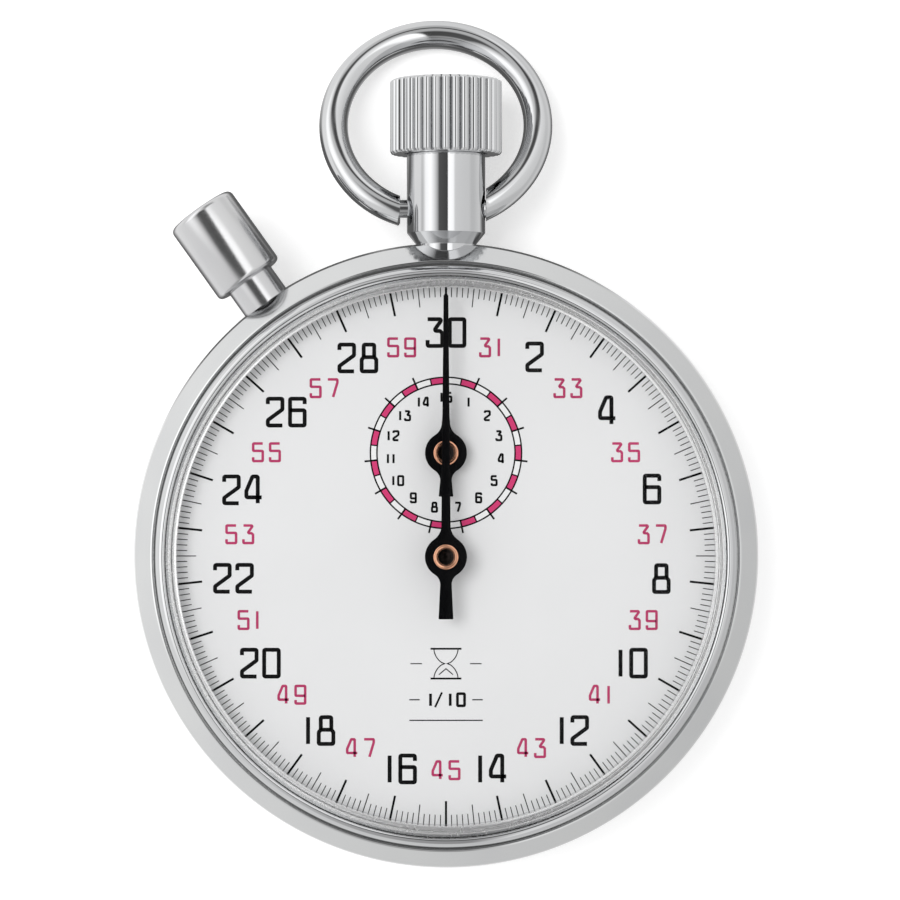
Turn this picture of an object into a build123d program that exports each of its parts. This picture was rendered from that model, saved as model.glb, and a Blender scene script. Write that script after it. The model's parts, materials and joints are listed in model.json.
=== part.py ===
from build123d import *
import os
from math import atan2, cos, degrees, hypot, radians, sin

# A mechanical stopwatch lying on its back. Millimetres.
# The origin is the centre of the flat face that it rests on. +Z points out of the dial,
# +Y towards the crown at 12 o'clock and +X towards 3 o'clock.

# ---- case, crystal and dial
CASE_R = 27.5
BAND_FRONT_R = 25.5
BAND_FRONT_Z = 11.45
BAND_BACK_R = 25.3
BAND_BACK_Z = 3.2
CASE_BORE_R = 24.2
BEZEL_R = 25.25
BEZEL_TOP_Z = 13.3
BEZEL_SEAT_Z = 10.95
CRYSTAL_R = 24.35
CRYSTAL_TOP_Z = 16.4
CRYSTAL_WALL = 1.1
CRYSTAL_SEAT_Z = 11.9
DIAL_VISIBLE_R = 23.45
DIAL_R = 24.1
DIAL_TOP_Z = 10.6
DIAL_T = 0.45
DIAL_FOOT_R = 0.45
BACK_FLAT_R = 21.0
BACK_T = 0.8

# ---- crown, pendant, bow and side button
AXIS_Z = 7.8
PENDANT_R = 3.45
PENDANT_NECK_R = 2.65
PENDANT_NECK_Y, PENDANT_SHOULDER_Y = 27.35, 28.35
PENDANT_TOP_Y = 36.7
PENDANT_SPIGOT_R = 2.2
PENDANT_BORE_R = 1.4
STEM_R = 0.6
STEM_END_Y = 17.2
STEM_SHOULDER_R = 1.1
COLLAR_R = 2.2
COLLAR_Y, COLLAR_TOP_Y = 22.2, 23.2
CROWN_R = 4.95
CROWN_FLUTES = 34
CROWN_BASE_Y = 35.3
CROWN_TOP_Y = 41.95
CROWN_SKIRT = 3.0
CROWN_ROOF = 2.0
BOW_PIVOT_Y = 30.5
BOW_RING_R = 9.1
BOW_RING_OFFSET = -0.92
BOW_RING_REACH = 8.32
BOW_WIRE_R = 1.28
BOW_PIN_R = 0.8
BOW_LEFT_END = -4.05
BOW_RIGHT_END = 3.53
BOW_ARC_START, BOW_ARC_END = -66, 254
BUTTON_ANGLE = 35.5
BUTTON_R = 3.18
BUTTON_NEAR = 29.75
BUTTON_FAR = 37.4
BUTTON_ROOF = 1.6
BUTTON_TUBE_R = 2.2
BUTTON_TUBE_END = 32.2
BUTTON_SPIGOT_R = 1.5
BUTTON_ROD_R = 0.8
BUTTON_ROD_END = 19.95
BUTTON_HEAD_R = 1.4
FIT = 0.05

# ---- movement levels, from the dial down to the back
PLATE_R = 22.6
PLATE_TOP_Z = DIAL_TOP_Z - DIAL_T
PLATE_Z = 8.6
BRIDGE_TOP_Z = 6.3
BRIDGE_Z = 5.3
WINDING_Z = 4.6
COUNTER_Z = 4.0
TRANSFER_Z = 3.5
LEVER_Z = 3.3
HAMMER_Z = 2.5
LEVER_T = 0.6
RING_Z = 7.6
COCK_Z, COCK_TOP_Z = 4.6, 5.6
PIVOT_Z, PIVOT_TOP_Z = 5.85, 9.0
ARBOR_Z, ARBOR_TOP_Z = 6.36, 8.5
FORK_Z, FORK_TOP_Z = 7.2, 7.45
HAIRSPRING_Z, HAIRSPRING_TOP_Z = 5.95, 6.15
BRAKE_Z, BRAKE_TOP_Z = 6.5, 6.9
COLUMN_Z, RATCHET_Z, RATCHET_TOP_Z = 2.7, 4.5, 4.9
SCREW_HEAD_R = 0.95
SCREW_HEAD_T = 0.45
SCREW_SHANK_R = 0.5
RATCHET_SCREW_R = 0.3
JEWEL_R = 0.8
JEWEL_T = 0.5
PIVOT_R = 0.12
PIVOT_HOLE_R = 0.16
HAND_ARBOR_R = 0.4
HAND_SEAT_R = 0.25
STUD_R = 0.5
POST_R = 0.6
BARREL_ARBOR_R = 0.8
BRIDGE_ARBOR_R = 1.2

# ---- wheel work: tooth counts and modules
BARREL_TEETH, GREAT_LEAVES, BARREL_MODULE = 72, 12, 0.20
GREAT_TEETH, THIRD_LEAVES, GREAT_MODULE = 80, 10, 0.13
THIRD_TEETH, SECONDS_LEAVES, THIRD_MODULE = 75, 10, 0.12
SECONDS_TEETH, ESCAPE_LEAVES, SECONDS_MODULE = 80, 8, 0.11
COUNTER_LEAVES, TRANSFER_TEETH, TRANSFER_MODULE = 10, 60, 0.12
TRANSFER_LEAVES, MINUTE_TEETH, MINUTE_MODULE = 10, 50, 0.17
CROWN_WHEEL_TEETH, RATCHET_TEETH, WINDING_MODULE = 36, 48, 0.25
WINDING_PINION_TEETH, CROWN_FACE_TEETH = 16, 32
ESCAPE_TEETH = 15
ESCAPE_R = 3.0
BALANCE_R = 4.2
COLUMN_TEETH = 18
COLUMNS = 6


def centre_distance(teeth_a, teeth_b, module):
    """Distance between the axes of two meshed wheels."""
    return module * (teeth_a + teeth_b) / 2


def step(start, distance, angle):
    """The point that lies at a distance and an angle, in degrees, from a start point."""
    return (start[0] + distance * cos(radians(angle)), start[1] + distance * sin(radians(angle)))


def bearing(start, end):
    """Direction from one point to another, in degrees."""
    return degrees(atan2(end[1] - start[1], end[0] - start[0]))


def crossing(start, start_reach, end, end_reach, side):
    """The point at start_reach from start and end_reach from end, on one side of the line."""
    gap = hypot(end[0] - start[0], end[1] - start[1])
    along = (start_reach**2 - end_reach**2 + gap**2) / (2 * gap)
    across = side * (start_reach**2 - along**2) ** 0.5
    heading = bearing(start, end)
    return step(step(start, along, heading), across, heading + 90)


# ---- axes of the movement, worked out from the meshes
SECONDS_AXIS = (0, 0)
MINUTE_AXIS = (0, 9)
CROWN_WHEEL_AXIS = (0, 14.5)
BARREL_AXIS = step(CROWN_WHEEL_AXIS, centre_distance(CROWN_WHEEL_TEETH, RATCHET_TEETH, WINDING_MODULE), -30)
GREAT_AXIS = step(BARREL_AXIS, centre_distance(BARREL_TEETH, GREAT_LEAVES, BARREL_MODULE), -80)
THIRD_AXIS = crossing(
    SECONDS_AXIS,
    centre_distance(THIRD_TEETH, SECONDS_LEAVES, THIRD_MODULE),
    GREAT_AXIS,
    centre_distance(GREAT_TEETH, THIRD_LEAVES, GREAT_MODULE),
    -1,
)
TRANSFER_AXIS = crossing(
    SECONDS_AXIS,
    centre_distance(COUNTER_LEAVES, TRANSFER_TEETH, TRANSFER_MODULE),
    MINUTE_AXIS,
    centre_distance(TRANSFER_LEAVES, MINUTE_TEETH, MINUTE_MODULE),
    -1,
)
ESCAPE_AXIS = step(SECONDS_AXIS, centre_distance(SECONDS_TEETH, ESCAPE_LEAVES, SECONDS_MODULE), 215)
BALANCE_LINE = 235
PALLET_AXIS = step(ESCAPE_AXIS, 3.5, BALANCE_LINE)
BALANCE_AXIS = step(PALLET_AXIS, 5.0, BALANCE_LINE)
CLICK_AXIS = step(BARREL_AXIS, 8.6, 95)
START_LEVER_AXIS = (-6.9, 14.2)
COLUMN_AXIS = (-15.5, 3.0)
HAMMER_AXIS = (-10.6, -0.2)
BRAKE_AXIS = (-16.5, -4.6)
JUMPER_AXIS = (-6.0, 12.2)
COCK_FOOT = (-16.2, -11.2)
PALLET_FEET = [(-10.4, -3.4), (-1.9, -8.2)]
BARREL_PILLARS = [(-7.5, 19.0), (4.8, 20.4), (19.2, 7.0), (-7.6, 7.6)]
TRAIN_PILLARS = [(-13.0, 0.8), (17.8, -1.0), (5.5, -7.4)]
DIAL_FEET = [step((0, 0), 19.5, angle) for angle in (250, 340)]
RIM_SCREWS = [step((0, 0), 23.1, angle) for angle in (20, 160, 280)]
TRAIN_AXES = [GREAT_AXIS, THIRD_AXIS, ESCAPE_AXIS]

BUTTON_DIRECTION = (-sin(radians(BUTTON_ANGLE)), cos(radians(BUTTON_ANGLE)), 0)
HAMMER_POST = step((0, 0), 19.3, 90 + BUTTON_ANGLE)
# The button swings the hammer's post to here, through a slot in the barrel bridge.
HAMMER_POST_PRESSED = (-8.5, 15.6)

os.makedirs("parts", exist_ok=True)
BASE = (Align.CENTER, Align.CENTER, Align.MIN)


def finish(part, name):
    """Label a finished piece and write its file."""
    part.label = name
    export_step(part, f"parts/{name}.step")
    print(f"{name:22s} {part.volume:9.3f} mm3")


def turned(outline, axis=Axis.Z, plane=Plane.XZ, mode=Mode.ADD):
    """Turn a closed outline about an axis and combine it with the current part."""
    with BuildSketch(plane) as profile:
        with BuildLine():
            Polyline(*outline, close=True)
        make_face()
    revolve(profile.sketch, axis=axis, mode=mode)


def post(centre, radius, low, high, mode=Mode.ADD):
    """An upright cylinder in the current part."""
    with Locations((centre[0], centre[1], low)):
        Cylinder(radius, high - low, align=BASE, mode=mode)


def shaft(start_y, end_y, radius, mode=Mode.ADD):
    """A cylinder along Y on the crown's axis."""
    with Locations(Location((0, start_y, AXIS_Z), (-90, 0, 0))):
        Cylinder(radius, end_y - start_y, align=BASE, mode=mode)


def button_rod(start, end, radius, mode=Mode.ADD):
    """A cylinder on the side button's axis, between two distances from the dial's centre."""
    x, y = step((0, 0), start, 90 + BUTTON_ANGLE)
    with Locations(Plane((x, y, AXIS_Z), z_dir=BUTTON_DIRECTION)):
        Cylinder(radius, end - start, align=BASE, mode=mode)


def tooth_ring(teeth, module, phase, share=0.44, tip=0.16):
    """Outline of a toothed wheel about the origin, with one tooth at the phase angle."""
    radius = teeth * module / 2
    corners = [
        (radius - 1.2 * module, -0.27),
        (radius, -share / 2),
        (radius + module, -tip / 2),
        (radius + module, tip / 2),
        (radius, share / 2),
        (radius - 1.2 * module, 0.27),
    ]
    return [
        step((0, 0), reach, phase + (tooth + shift) * 360 / teeth)
        for tooth in range(teeth)
        for reach, shift in corners
    ]


def facing(centre, other, teeth):
    """Phase that puts a gap of a wheel opposite a tooth of the wheel that drives it."""
    return bearing(centre, other) + 180 / teeth


def toothed_disc(centre, low, high, teeth, module, phase, bore):
    """A solid wheel in the current part."""
    with BuildSketch(Plane((centre[0], centre[1], low))) as outline:
        with BuildLine():
            Polyline(*tooth_ring(teeth, module, phase), close=True)
        make_face()
        if bore:
            Circle(bore, mode=Mode.SUBTRACT)
    extrude(outline.sketch, amount=high - low)


def crossed_wheel(centre, low, high, teeth, module, phase, bore, spokes):
    """A train wheel with a toothed rim, thin spokes and a hub."""
    rim = teeth * module / 2 - 3.6 * module
    with BuildPart() as wheel:
        with BuildSketch(Plane((centre[0], centre[1], low))):
            with BuildLine():
                Polyline(*tooth_ring(teeth, module, phase), close=True)
            make_face()
            Circle(rim, mode=Mode.SUBTRACT)
            with PolarLocations(0, spokes):
                Rectangle(rim + module, 3.2 * module, align=(Align.MIN, Align.CENTER))
            Circle(bore + 0.45)
            Circle(bore, mode=Mode.SUBTRACT)
        extrude(amount=high - low)
    return wheel.part


def stepped_arbor(centre, steps):
    """An upright turned arbor in the current part, from (radius, low, high) steps."""
    for radius, low, high in steps:
        post(centre, radius, low, high)


def plate_lug(points, width, low, high, mode=Mode.ADD):
    """A flat lever through some points, round at every corner, in the current part."""
    with BuildSketch(Plane.XY.offset(low)) as outline:
        for start, end in zip(points, points[1:]):
            length = hypot(end[0] - start[0], end[1] - start[1])
            middle = ((start[0] + end[0]) / 2, (start[1] + end[1]) / 2)
            with Locations(Location((*middle, 0), (0, 0, bearing(start, end)))):
                SlotCenterToCenter(length, width)
    extrude(outline.sketch, amount=high - low, mode=mode)


def coil_spring(origin, direction, length, radius, turns, wire):
    """A round-wire compression spring along a direction."""
    with BuildPart() as spring:
        with BuildLine() as path:
            Helix(length / turns, length, radius, center=origin, direction=direction)
        with BuildSketch(Plane(origin=path.line @ 0, z_dir=path.line % 0)):
            Circle(wire)
        sweep(is_frenet=True)
    return spring.part


def spiral(centre, low, high, inner, outer, turns, thickness):
    """A flat spiral strip in the current part."""
    points_per_turn = 16
    count = int(turns * points_per_turn)
    growth = (outer - inner) / count

    def winding(start):
        return [step((0, 0), start + growth * i, 360 * i / points_per_turn) for i in range(count + 1)]

    with BuildSketch(Plane((centre[0], centre[1], low))) as strip:
        with BuildLine():
            near = Spline(*winding(inner))
            far = Spline(*winding(inner + thickness))
            Line(near @ 0, far @ 0)
            Line(near @ 1, far @ 1)
        make_face()
    extrude(strip.sketch, amount=high - low)


# ================================================================ case
BAND_OUTLINE = [
    (BAND_BACK_R, BAND_BACK_Z),
    (26.7, 4.3),
    (27.25, 5.6),
    (CASE_R, 7.4),
    (27.42, 8.9),
    (27.2, 9.95),
    (25.75, BAND_FRONT_Z - 0.06),
    (BAND_FRONT_R + 0.12, BAND_FRONT_Z),
]

with BuildPart() as band_shape:
    turned([(0, BAND_BACK_Z), *BAND_OUTLINE, (0, BAND_FRONT_Z)])

with BuildPart() as middle_case:
    turned(
        [
            *BAND_OUTLINE,
            (BAND_FRONT_R, BAND_FRONT_Z),
            (BAND_FRONT_R, BEZEL_SEAT_Z),
            (CASE_BORE_R, BEZEL_SEAT_Z),
            (CASE_BORE_R, BAND_BACK_Z),
        ]
    )
    shaft(20, 30, PENDANT_SPIGOT_R, mode=Mode.SUBTRACT)
    button_rod(20, 30, BUTTON_SPIGOT_R, mode=Mode.SUBTRACT)
finish(middle_case.part, "middle_case")

with BuildPart() as case_back:
    turned(
        [
            (0, 0),
            (BACK_FLAT_R, 0),
            (22.6, 0.25),
            (24.2, 1.1),
            (25.0, 2.1),
            (BAND_BACK_R, BAND_BACK_Z),
            (CASE_BORE_R, BAND_BACK_Z),
            (CASE_BORE_R, BAND_BACK_Z + 1.2),
            (CASE_BORE_R - 0.6, BAND_BACK_Z + 1.2),
            (CASE_BORE_R - 0.6, 2.3),
            (22.2, 1.1),
            (20.6, BACK_T),
            (0, BACK_T),
        ]
    )
finish(case_back.part, "case_back")

with BuildPart() as bezel:
    turned(
        [
            (DIAL_VISIBLE_R, DIAL_TOP_Z),
            (CASE_BORE_R - 0.02, DIAL_TOP_Z),
            (CASE_BORE_R - 0.02, BEZEL_SEAT_Z),
            (BEZEL_R, BEZEL_SEAT_Z),
            (BEZEL_R, 12.35),
            (BEZEL_R - 0.12, 12.85),
            (BEZEL_R - 0.4, 13.2),
            (CRYSTAL_R + 0.2, BEZEL_TOP_Z),
            (CRYSTAL_R, BEZEL_TOP_Z - 0.1),
            (CRYSTAL_R, CRYSTAL_SEAT_Z),
            (DIAL_VISIBLE_R + 0.15, CRYSTAL_SEAT_Z),
        ]
    )
finish(bezel.part, "bezel")


def dome(edge, top_z):
    """An arc from an edge point, level where it meets the axis at the top."""
    rise = top_z - edge[1]
    radius = (edge[0] ** 2 + rise**2) / (2 * rise)
    half_way = edge[0] / 2
    return ThreePointArc(edge, (half_way, top_z - radius + (radius**2 - half_way**2) ** 0.5), (0, top_z))


with BuildPart() as crystal:
    with BuildSketch(Plane.XZ):
        with BuildLine():
            wall = Line((CRYSTAL_R, CRYSTAL_SEAT_Z), (CRYSTAL_R, 13.9))
            shoulder = TangentArc(wall @ 1, (CRYSTAL_R - 0.8, 14.75), tangent=(0, 1))
            top = dome((CRYSTAL_R - 0.8, 14.75), CRYSTAL_TOP_Z)
            under = dome((CRYSTAL_R - 1.6, 13.7), CRYSTAL_TOP_Z - CRYSTAL_WALL)
            Line(top @ 1, under @ 1)
            Line(under @ 0, (CRYSTAL_R - 0.9, 13.1))
            Line((CRYSTAL_R - 0.9, 13.1), (CRYSTAL_R - 0.9, CRYSTAL_SEAT_Z))
            Line((CRYSTAL_R - 0.9, CRYSTAL_SEAT_Z), wall @ 0)
        make_face()
    revolve(axis=Axis.Z)
finish(crystal.part, "crystal")

with BuildPart() as pendant_tube:
    turned(
        [
            (0, 25.0),
            (PENDANT_NECK_R, 25.0),
            (PENDANT_NECK_R, PENDANT_NECK_Y),
            (PENDANT_R, PENDANT_SHOULDER_Y),
            (PENDANT_R, PENDANT_TOP_Y - 0.3),
            (PENDANT_R - 0.3, PENDANT_TOP_Y),
            (0, PENDANT_TOP_Y),
        ],
        axis=Axis((0, 0, AXIS_Z), (0, 1, 0)),
        plane=Plane((0, 0, AXIS_Z)),
    )
    add(band_shape.part, mode=Mode.SUBTRACT)
    shaft(24.6, 28.0, PENDANT_SPIGOT_R)
    shaft(24.0, PENDANT_TOP_Y + 1, PENDANT_BORE_R, mode=Mode.SUBTRACT)
    shaft(24.0, 26.0, STEM_R + FIT, mode=Mode.SUBTRACT)
    with Locations((0, BOW_PIVOT_Y, AXIS_Z)):
        Cylinder(BOW_PIN_R + FIT, 2 * PENDANT_R + 1, rotation=(0, 90, 0), mode=Mode.SUBTRACT)
finish(pendant_tube.part, "pendant_tube")

with BuildPart() as movement_ring:
    post((0, 0), CASE_BORE_R - FIT, RING_Z, PLATE_TOP_Z)
    post((0, 0), PLATE_R + FIT, RING_Z, PLATE_TOP_Z, mode=Mode.SUBTRACT)
    shaft(20, 25, 2.5, mode=Mode.SUBTRACT)
    button_rod(20, 25, 1.8, mode=Mode.SUBTRACT)
    for rim in RIM_SCREWS:
        post(rim, SCREW_SHANK_R, RING_Z, RING_Z + 2.0, mode=Mode.SUBTRACT)
finish(movement_ring.part, "movement_ring")

# ================================================================ bow, crown and side button
# The bow hangs from the pendant until its far end touches the surface under the case.
BOW_REACH = BOW_RING_REACH + BOW_RING_R
BOW_DROP = degrees(atan2(AXIS_Z - BOW_WIRE_R, (BOW_REACH**2 - (AXIS_Z - BOW_WIRE_R) ** 2) ** 0.5))
BOW_PLANE = Plane(
    (0, BOW_PIVOT_Y, AXIS_Z),
    x_dir=(1, 0, 0),
    z_dir=(0, sin(radians(BOW_DROP)), cos(radians(BOW_DROP))),
)

with BuildPart() as bow:
    with BuildLine(BOW_PLANE) as ring_path:
        CenterArc((BOW_RING_OFFSET, BOW_RING_REACH), BOW_RING_R, BOW_ARC_START, BOW_ARC_END - BOW_ARC_START)
    with BuildSketch(Plane(origin=ring_path.line @ 0, z_dir=ring_path.line % 0)):
        Circle(BOW_WIRE_R)
    sweep()
    with BuildSketch(BOW_PLANE) as pendant_gap:
        with Locations(((BOW_LEFT_END + BOW_RIGHT_END) / 2, 0)):
            Rectangle(BOW_RIGHT_END - BOW_LEFT_END, 9)
    extrude(pendant_gap.sketch, amount=4, both=True, mode=Mode.SUBTRACT)
    for near, far in ((BOW_LEFT_END - 0.6, -1.6), (1.6, BOW_RIGHT_END + 0.6)):
        with Locations(((near + far) / 2, BOW_PIVOT_Y, AXIS_Z)):
            Cylinder(BOW_PIN_R, far - near, rotation=(0, 90, 0))
finish(bow.part, "bow")

with BuildPart() as crown:
    with BuildSketch(Plane((0, CROWN_BASE_Y, AXIS_Z), x_dir=(1, 0, 0), z_dir=(0, 1, 0))):
        with BuildLine():
            Polyline(
                *[
                    step((0, 0), reach, (flute + shift) * 360 / CROWN_FLUTES)
                    for flute in range(CROWN_FLUTES)
                    for shift, reach in ((0, 4.5), (0.28, 4.88), (0.5, CROWN_R), (0.72, 4.88))
                ],
                close=True,
            )
        make_face()
    extrude(amount=CROWN_TOP_Y - CROWN_BASE_Y)
    turned(
        [
            (0, CROWN_BASE_Y),
            (4.7, CROWN_BASE_Y),
            (5.1, CROWN_BASE_Y + 0.4),
            (5.1, CROWN_TOP_Y - 0.6),
            (4.6, CROWN_TOP_Y - 0.15),
            (0, CROWN_TOP_Y),
        ],
        axis=Axis((0, 0, AXIS_Z), (0, 1, 0)),
        plane=Plane((0, 0, AXIS_Z)),
        mode=Mode.INTERSECT,
    )
    shaft(CROWN_BASE_Y - 1, CROWN_BASE_Y + CROWN_SKIRT, PENDANT_R + 0.2, mode=Mode.SUBTRACT)
    shaft(CROWN_BASE_Y, CROWN_TOP_Y - CROWN_ROOF, STEM_R, mode=Mode.SUBTRACT)
finish(crown.part, "crown")

with BuildPart() as winding_stem:
    shaft(STEM_END_Y, CROWN_TOP_Y - CROWN_ROOF, STEM_R)
    shaft(COLLAR_TOP_Y + FIT, COLLAR_TOP_Y + FIT + 0.5, STEM_SHOULDER_R)
finish(winding_stem.part, "winding_stem")

with BuildPart() as push_collar:
    shaft(COLLAR_Y, COLLAR_TOP_Y, COLLAR_R)
    shaft(COLLAR_Y, COLLAR_TOP_Y, STEM_R + FIT, mode=Mode.SUBTRACT)
finish(push_collar.part, "push_collar")

CROWN_SPRING_Y = 27.6
CROWN_SPRING_LENGTH = CROWN_BASE_Y + CROWN_SKIRT - CROWN_SPRING_Y - 0.4
crown_spring = coil_spring((0, CROWN_SPRING_Y, AXIS_Z), (0, 1, 0), CROWN_SPRING_LENGTH, 1.05, 11, 0.14)
finish(crown_spring, "crown_spring")

with BuildPart() as pusher_tube:
    button_rod(25.0, BUTTON_TUBE_END, BUTTON_TUBE_R)
    add(band_shape.part, mode=Mode.SUBTRACT)
    button_rod(24.6, 27.8, BUTTON_SPIGOT_R)
    button_rod(24.0, 33.0, BUTTON_ROD_R + FIT, mode=Mode.SUBTRACT)
finish(pusher_tube.part, "pusher_tube")

with BuildPart() as pusher:
    button_rod(BUTTON_NEAR, BUTTON_FAR, BUTTON_R)
    fillet(pusher.edges().filter_by(GeomType.CIRCLE), 0.55)
    button_rod(BUTTON_NEAR - 1, BUTTON_FAR - BUTTON_ROOF, BUTTON_TUBE_R + 0.1, mode=Mode.SUBTRACT)
    button_rod(BUTTON_ROD_END, BUTTON_FAR - BUTTON_ROOF + 0.4, BUTTON_ROD_R)
    button_rod(22.7, 23.3, BUTTON_HEAD_R)
finish(pusher.part, "pusher")

pusher_spring = coil_spring(
    (*step((0, 0), BUTTON_TUBE_END + 0.2, 90 + BUTTON_ANGLE), AXIS_Z),
    BUTTON_DIRECTION,
    3.2,
    1.5,
    5,
    0.16,
)
finish(pusher_spring, "pusher_spring")

# ================================================================ dial and hands
with BuildPart() as dial:
    post((0, 0), DIAL_R, PLATE_TOP_Z, DIAL_TOP_Z)
    post(SECONDS_AXIS, 0.8, PLATE_TOP_Z, DIAL_TOP_Z, mode=Mode.SUBTRACT)
    post(MINUTE_AXIS, 0.7, PLATE_TOP_Z, DIAL_TOP_Z, mode=Mode.SUBTRACT)
    for foot in DIAL_FEET:
        post(foot, DIAL_FOOT_R, PLATE_Z + 0.2, PLATE_TOP_Z)
finish(dial.part, "dial")

SECONDS_HAND_Z = 13.0
MINUTE_HAND_Z = 11.9
HAND_T = 0.2


def hand(centre, low, hub, tip, tail, neck, tip_width, tail_start, tail_end, blend):
    """A flat hand: round hub, concave fillets into a tapered blade, and a flat-ended tail."""
    with BuildPart() as piece:
        with BuildSketch(Plane((centre[0], centre[1], low))):
            Circle(hub)
            with BuildLine():
                Polyline(
                    (-tip_width / 2, tip),
                    (tip_width / 2, tip),
                    (neck / 2, hub * 0.75),
                    (tail_start / 2, -hub * 0.75),
                    (tail_end / 2, -tail),
                    (-tail_end / 2, -tail),
                    (-tail_start / 2, -hub * 0.75),
                    (-neck / 2, hub * 0.75),
                    close=True,
                )
            make_face()
            Circle(0.45, mode=Mode.SUBTRACT)
        extrude(amount=HAND_T)
        corners = piece.edges().filter_by(Axis.Z).filter_by(
            lambda edge: abs(hypot(edge.center().X - centre[0], edge.center().Y - centre[1]) - hub) < 0.02
        )
        fillet(corners, blend)
    return piece.part


seconds_hand = hand(SECONDS_AXIS, SECONDS_HAND_Z, 1.77, 22.8, 5.4, 0.78, 0.32, 0.95, 1.17, 0.7)
finish(seconds_hand, "seconds_hand")
minute_hand = hand(MINUTE_AXIS, MINUTE_HAND_Z, 1.72, 5.3, 3.8, 0.75, 0.3, 0.95, 1.26, 0.5)
finish(minute_hand, "minute_hand")


def collet(centre, hand_z):
    """The tube that carries a hand, with its shoulder on the hand's upper face."""
    with BuildPart() as piece:
        post(centre, 0.45, hand_z - 0.5, hand_z + HAND_T)
        post(centre, 1.04, hand_z + HAND_T, hand_z + HAND_T + 0.22)
        post(centre, 0.68, hand_z + HAND_T + 0.12, hand_z + HAND_T + 0.3, mode=Mode.SUBTRACT)
        post(centre, 0.25, hand_z - 0.6, hand_z + HAND_T + 0.3, mode=Mode.SUBTRACT)
    return piece.part


finish(collet(SECONDS_AXIS, SECONDS_HAND_Z), "seconds_collet")
finish(collet(MINUTE_AXIS, MINUTE_HAND_Z), "minute_collet")

# ================================================================ plates and bridges
with BuildPart() as main_plate:
    post((0, 0), PLATE_R, PLATE_Z, PLATE_TOP_Z)
    for axis in (SECONDS_AXIS, MINUTE_AXIS):
        post(axis, JEWEL_R + 0.1, PLATE_Z, PLATE_TOP_Z, mode=Mode.SUBTRACT)
    for axis in (*TRAIN_AXES, PALLET_AXIS, BALANCE_AXIS):
        post(axis, JEWEL_R, PLATE_Z, PLATE_TOP_Z, mode=Mode.SUBTRACT)
    post(BARREL_AXIS, BARREL_ARBOR_R + FIT, PLATE_Z, PLATE_TOP_Z, mode=Mode.SUBTRACT)
    for foot in DIAL_FEET:
        post(foot, DIAL_FOOT_R, PLATE_Z, PLATE_TOP_Z, mode=Mode.SUBTRACT)
    for pillar in (*BARREL_PILLARS, *TRAIN_PILLARS, *PALLET_FEET, COCK_FOOT):
        post(pillar, SCREW_SHANK_R, PLATE_Z, PLATE_Z + 1.0, mode=Mode.SUBTRACT)
    with Locations((0, 20.2, PLATE_Z)):
        Box(5.2, 5.4, 1.5, align=BASE, mode=Mode.SUBTRACT)
    button_rod(18.0, 24.0, 1.8, mode=Mode.SUBTRACT)
    post(BRAKE_AXIS, STUD_R, BRAKE_Z - 0.1, PLATE_Z)
finish(main_plate.part, "main_plate")


def bridge(outline, pillars, pillar_r, holes, cuts):
    """A flat bridge on pillars, with jewel holes, screw holes and clearance holes."""
    with BuildPart() as piece:
        with BuildSketch(Plane.XY.offset(BRIDGE_Z)):
            with BuildLine():
                Polyline(*outline, close=True)
            make_face()
            Circle(PLATE_R - 0.4, mode=Mode.INTERSECT)
        extrude(amount=BRIDGE_TOP_Z - BRIDGE_Z)
        for pillar in pillars:
            post(pillar, pillar_r, BRIDGE_TOP_Z, PLATE_Z)
            post(pillar, SCREW_SHANK_R, BRIDGE_Z, PLATE_Z, mode=Mode.SUBTRACT)
        for centre in holes:
            post(centre, JEWEL_R, BRIDGE_Z, BRIDGE_TOP_Z, mode=Mode.SUBTRACT)
        for centre, radius in cuts:
            post(centre, radius, BRIDGE_Z, BRIDGE_TOP_Z, mode=Mode.SUBTRACT)
    return piece.part


with BuildPart() as barrel_bridge:
    add(
        bridge(
            [(-9.4, 4.4), (22, 4.4), (22, 23), (2.6, 23), (2.6, 17.3), (-2.6, 17.3), (-2.6, 23), (-9.4, 23)],
            BARREL_PILLARS,
            1.5,
            [MINUTE_AXIS],
            [(BARREL_AXIS, BRIDGE_ARBOR_R + FIT)],
        )
    )
    post(CROWN_WHEEL_AXIS, 4.95, BRIDGE_Z, BRIDGE_TOP_Z - 0.3, mode=Mode.SUBTRACT)
    post(CROWN_WHEEL_AXIS, 3.1, BRIDGE_Z, BRIDGE_TOP_Z - 0.3)
    post(CROWN_WHEEL_AXIS, SCREW_SHANK_R, BRIDGE_Z, BRIDGE_TOP_Z, mode=Mode.SUBTRACT)
    plate_lug([HAMMER_POST, HAMMER_POST_PRESSED], 1.8, BRIDGE_Z, BRIDGE_TOP_Z, mode=Mode.SUBTRACT)
    post(CLICK_AXIS, STUD_R, WINDING_Z - 0.1, BRIDGE_Z)
    post(START_LEVER_AXIS, STUD_R, LEVER_Z - 0.1, BRIDGE_Z)
finish(barrel_bridge.part, "barrel_bridge")

with BuildPart() as train_bridge:
    add(
        bridge(
            [
                (-18, 4.0),
                (-18, 1.4),
                (-14.3, -1.6),
                (-8.6, -1.6),
                (-6.4, -1.9),
                (-3.2, -5.6),
                (2.0, -5.6),
                (3.8, -8.8),
                (7.4, -8.8),
                (12, -4.4),
                (19.2, -2.6),
                (19.2, 1.2),
                (14.8, 4.0),
            ],
            TRAIN_PILLARS,
            1.2,
            [SECONDS_AXIS, *TRAIN_AXES],
            [],
        )
    )
    post(TRANSFER_AXIS, 0.3, 3.35, BRIDGE_Z)
    post(COLUMN_AXIS, POST_R, COLUMN_Z + 0.3, BRIDGE_Z)
    post(HAMMER_AXIS, POST_R, HAMMER_Z - 0.2, BRIDGE_Z)
finish(train_bridge.part, "train_bridge")

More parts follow.
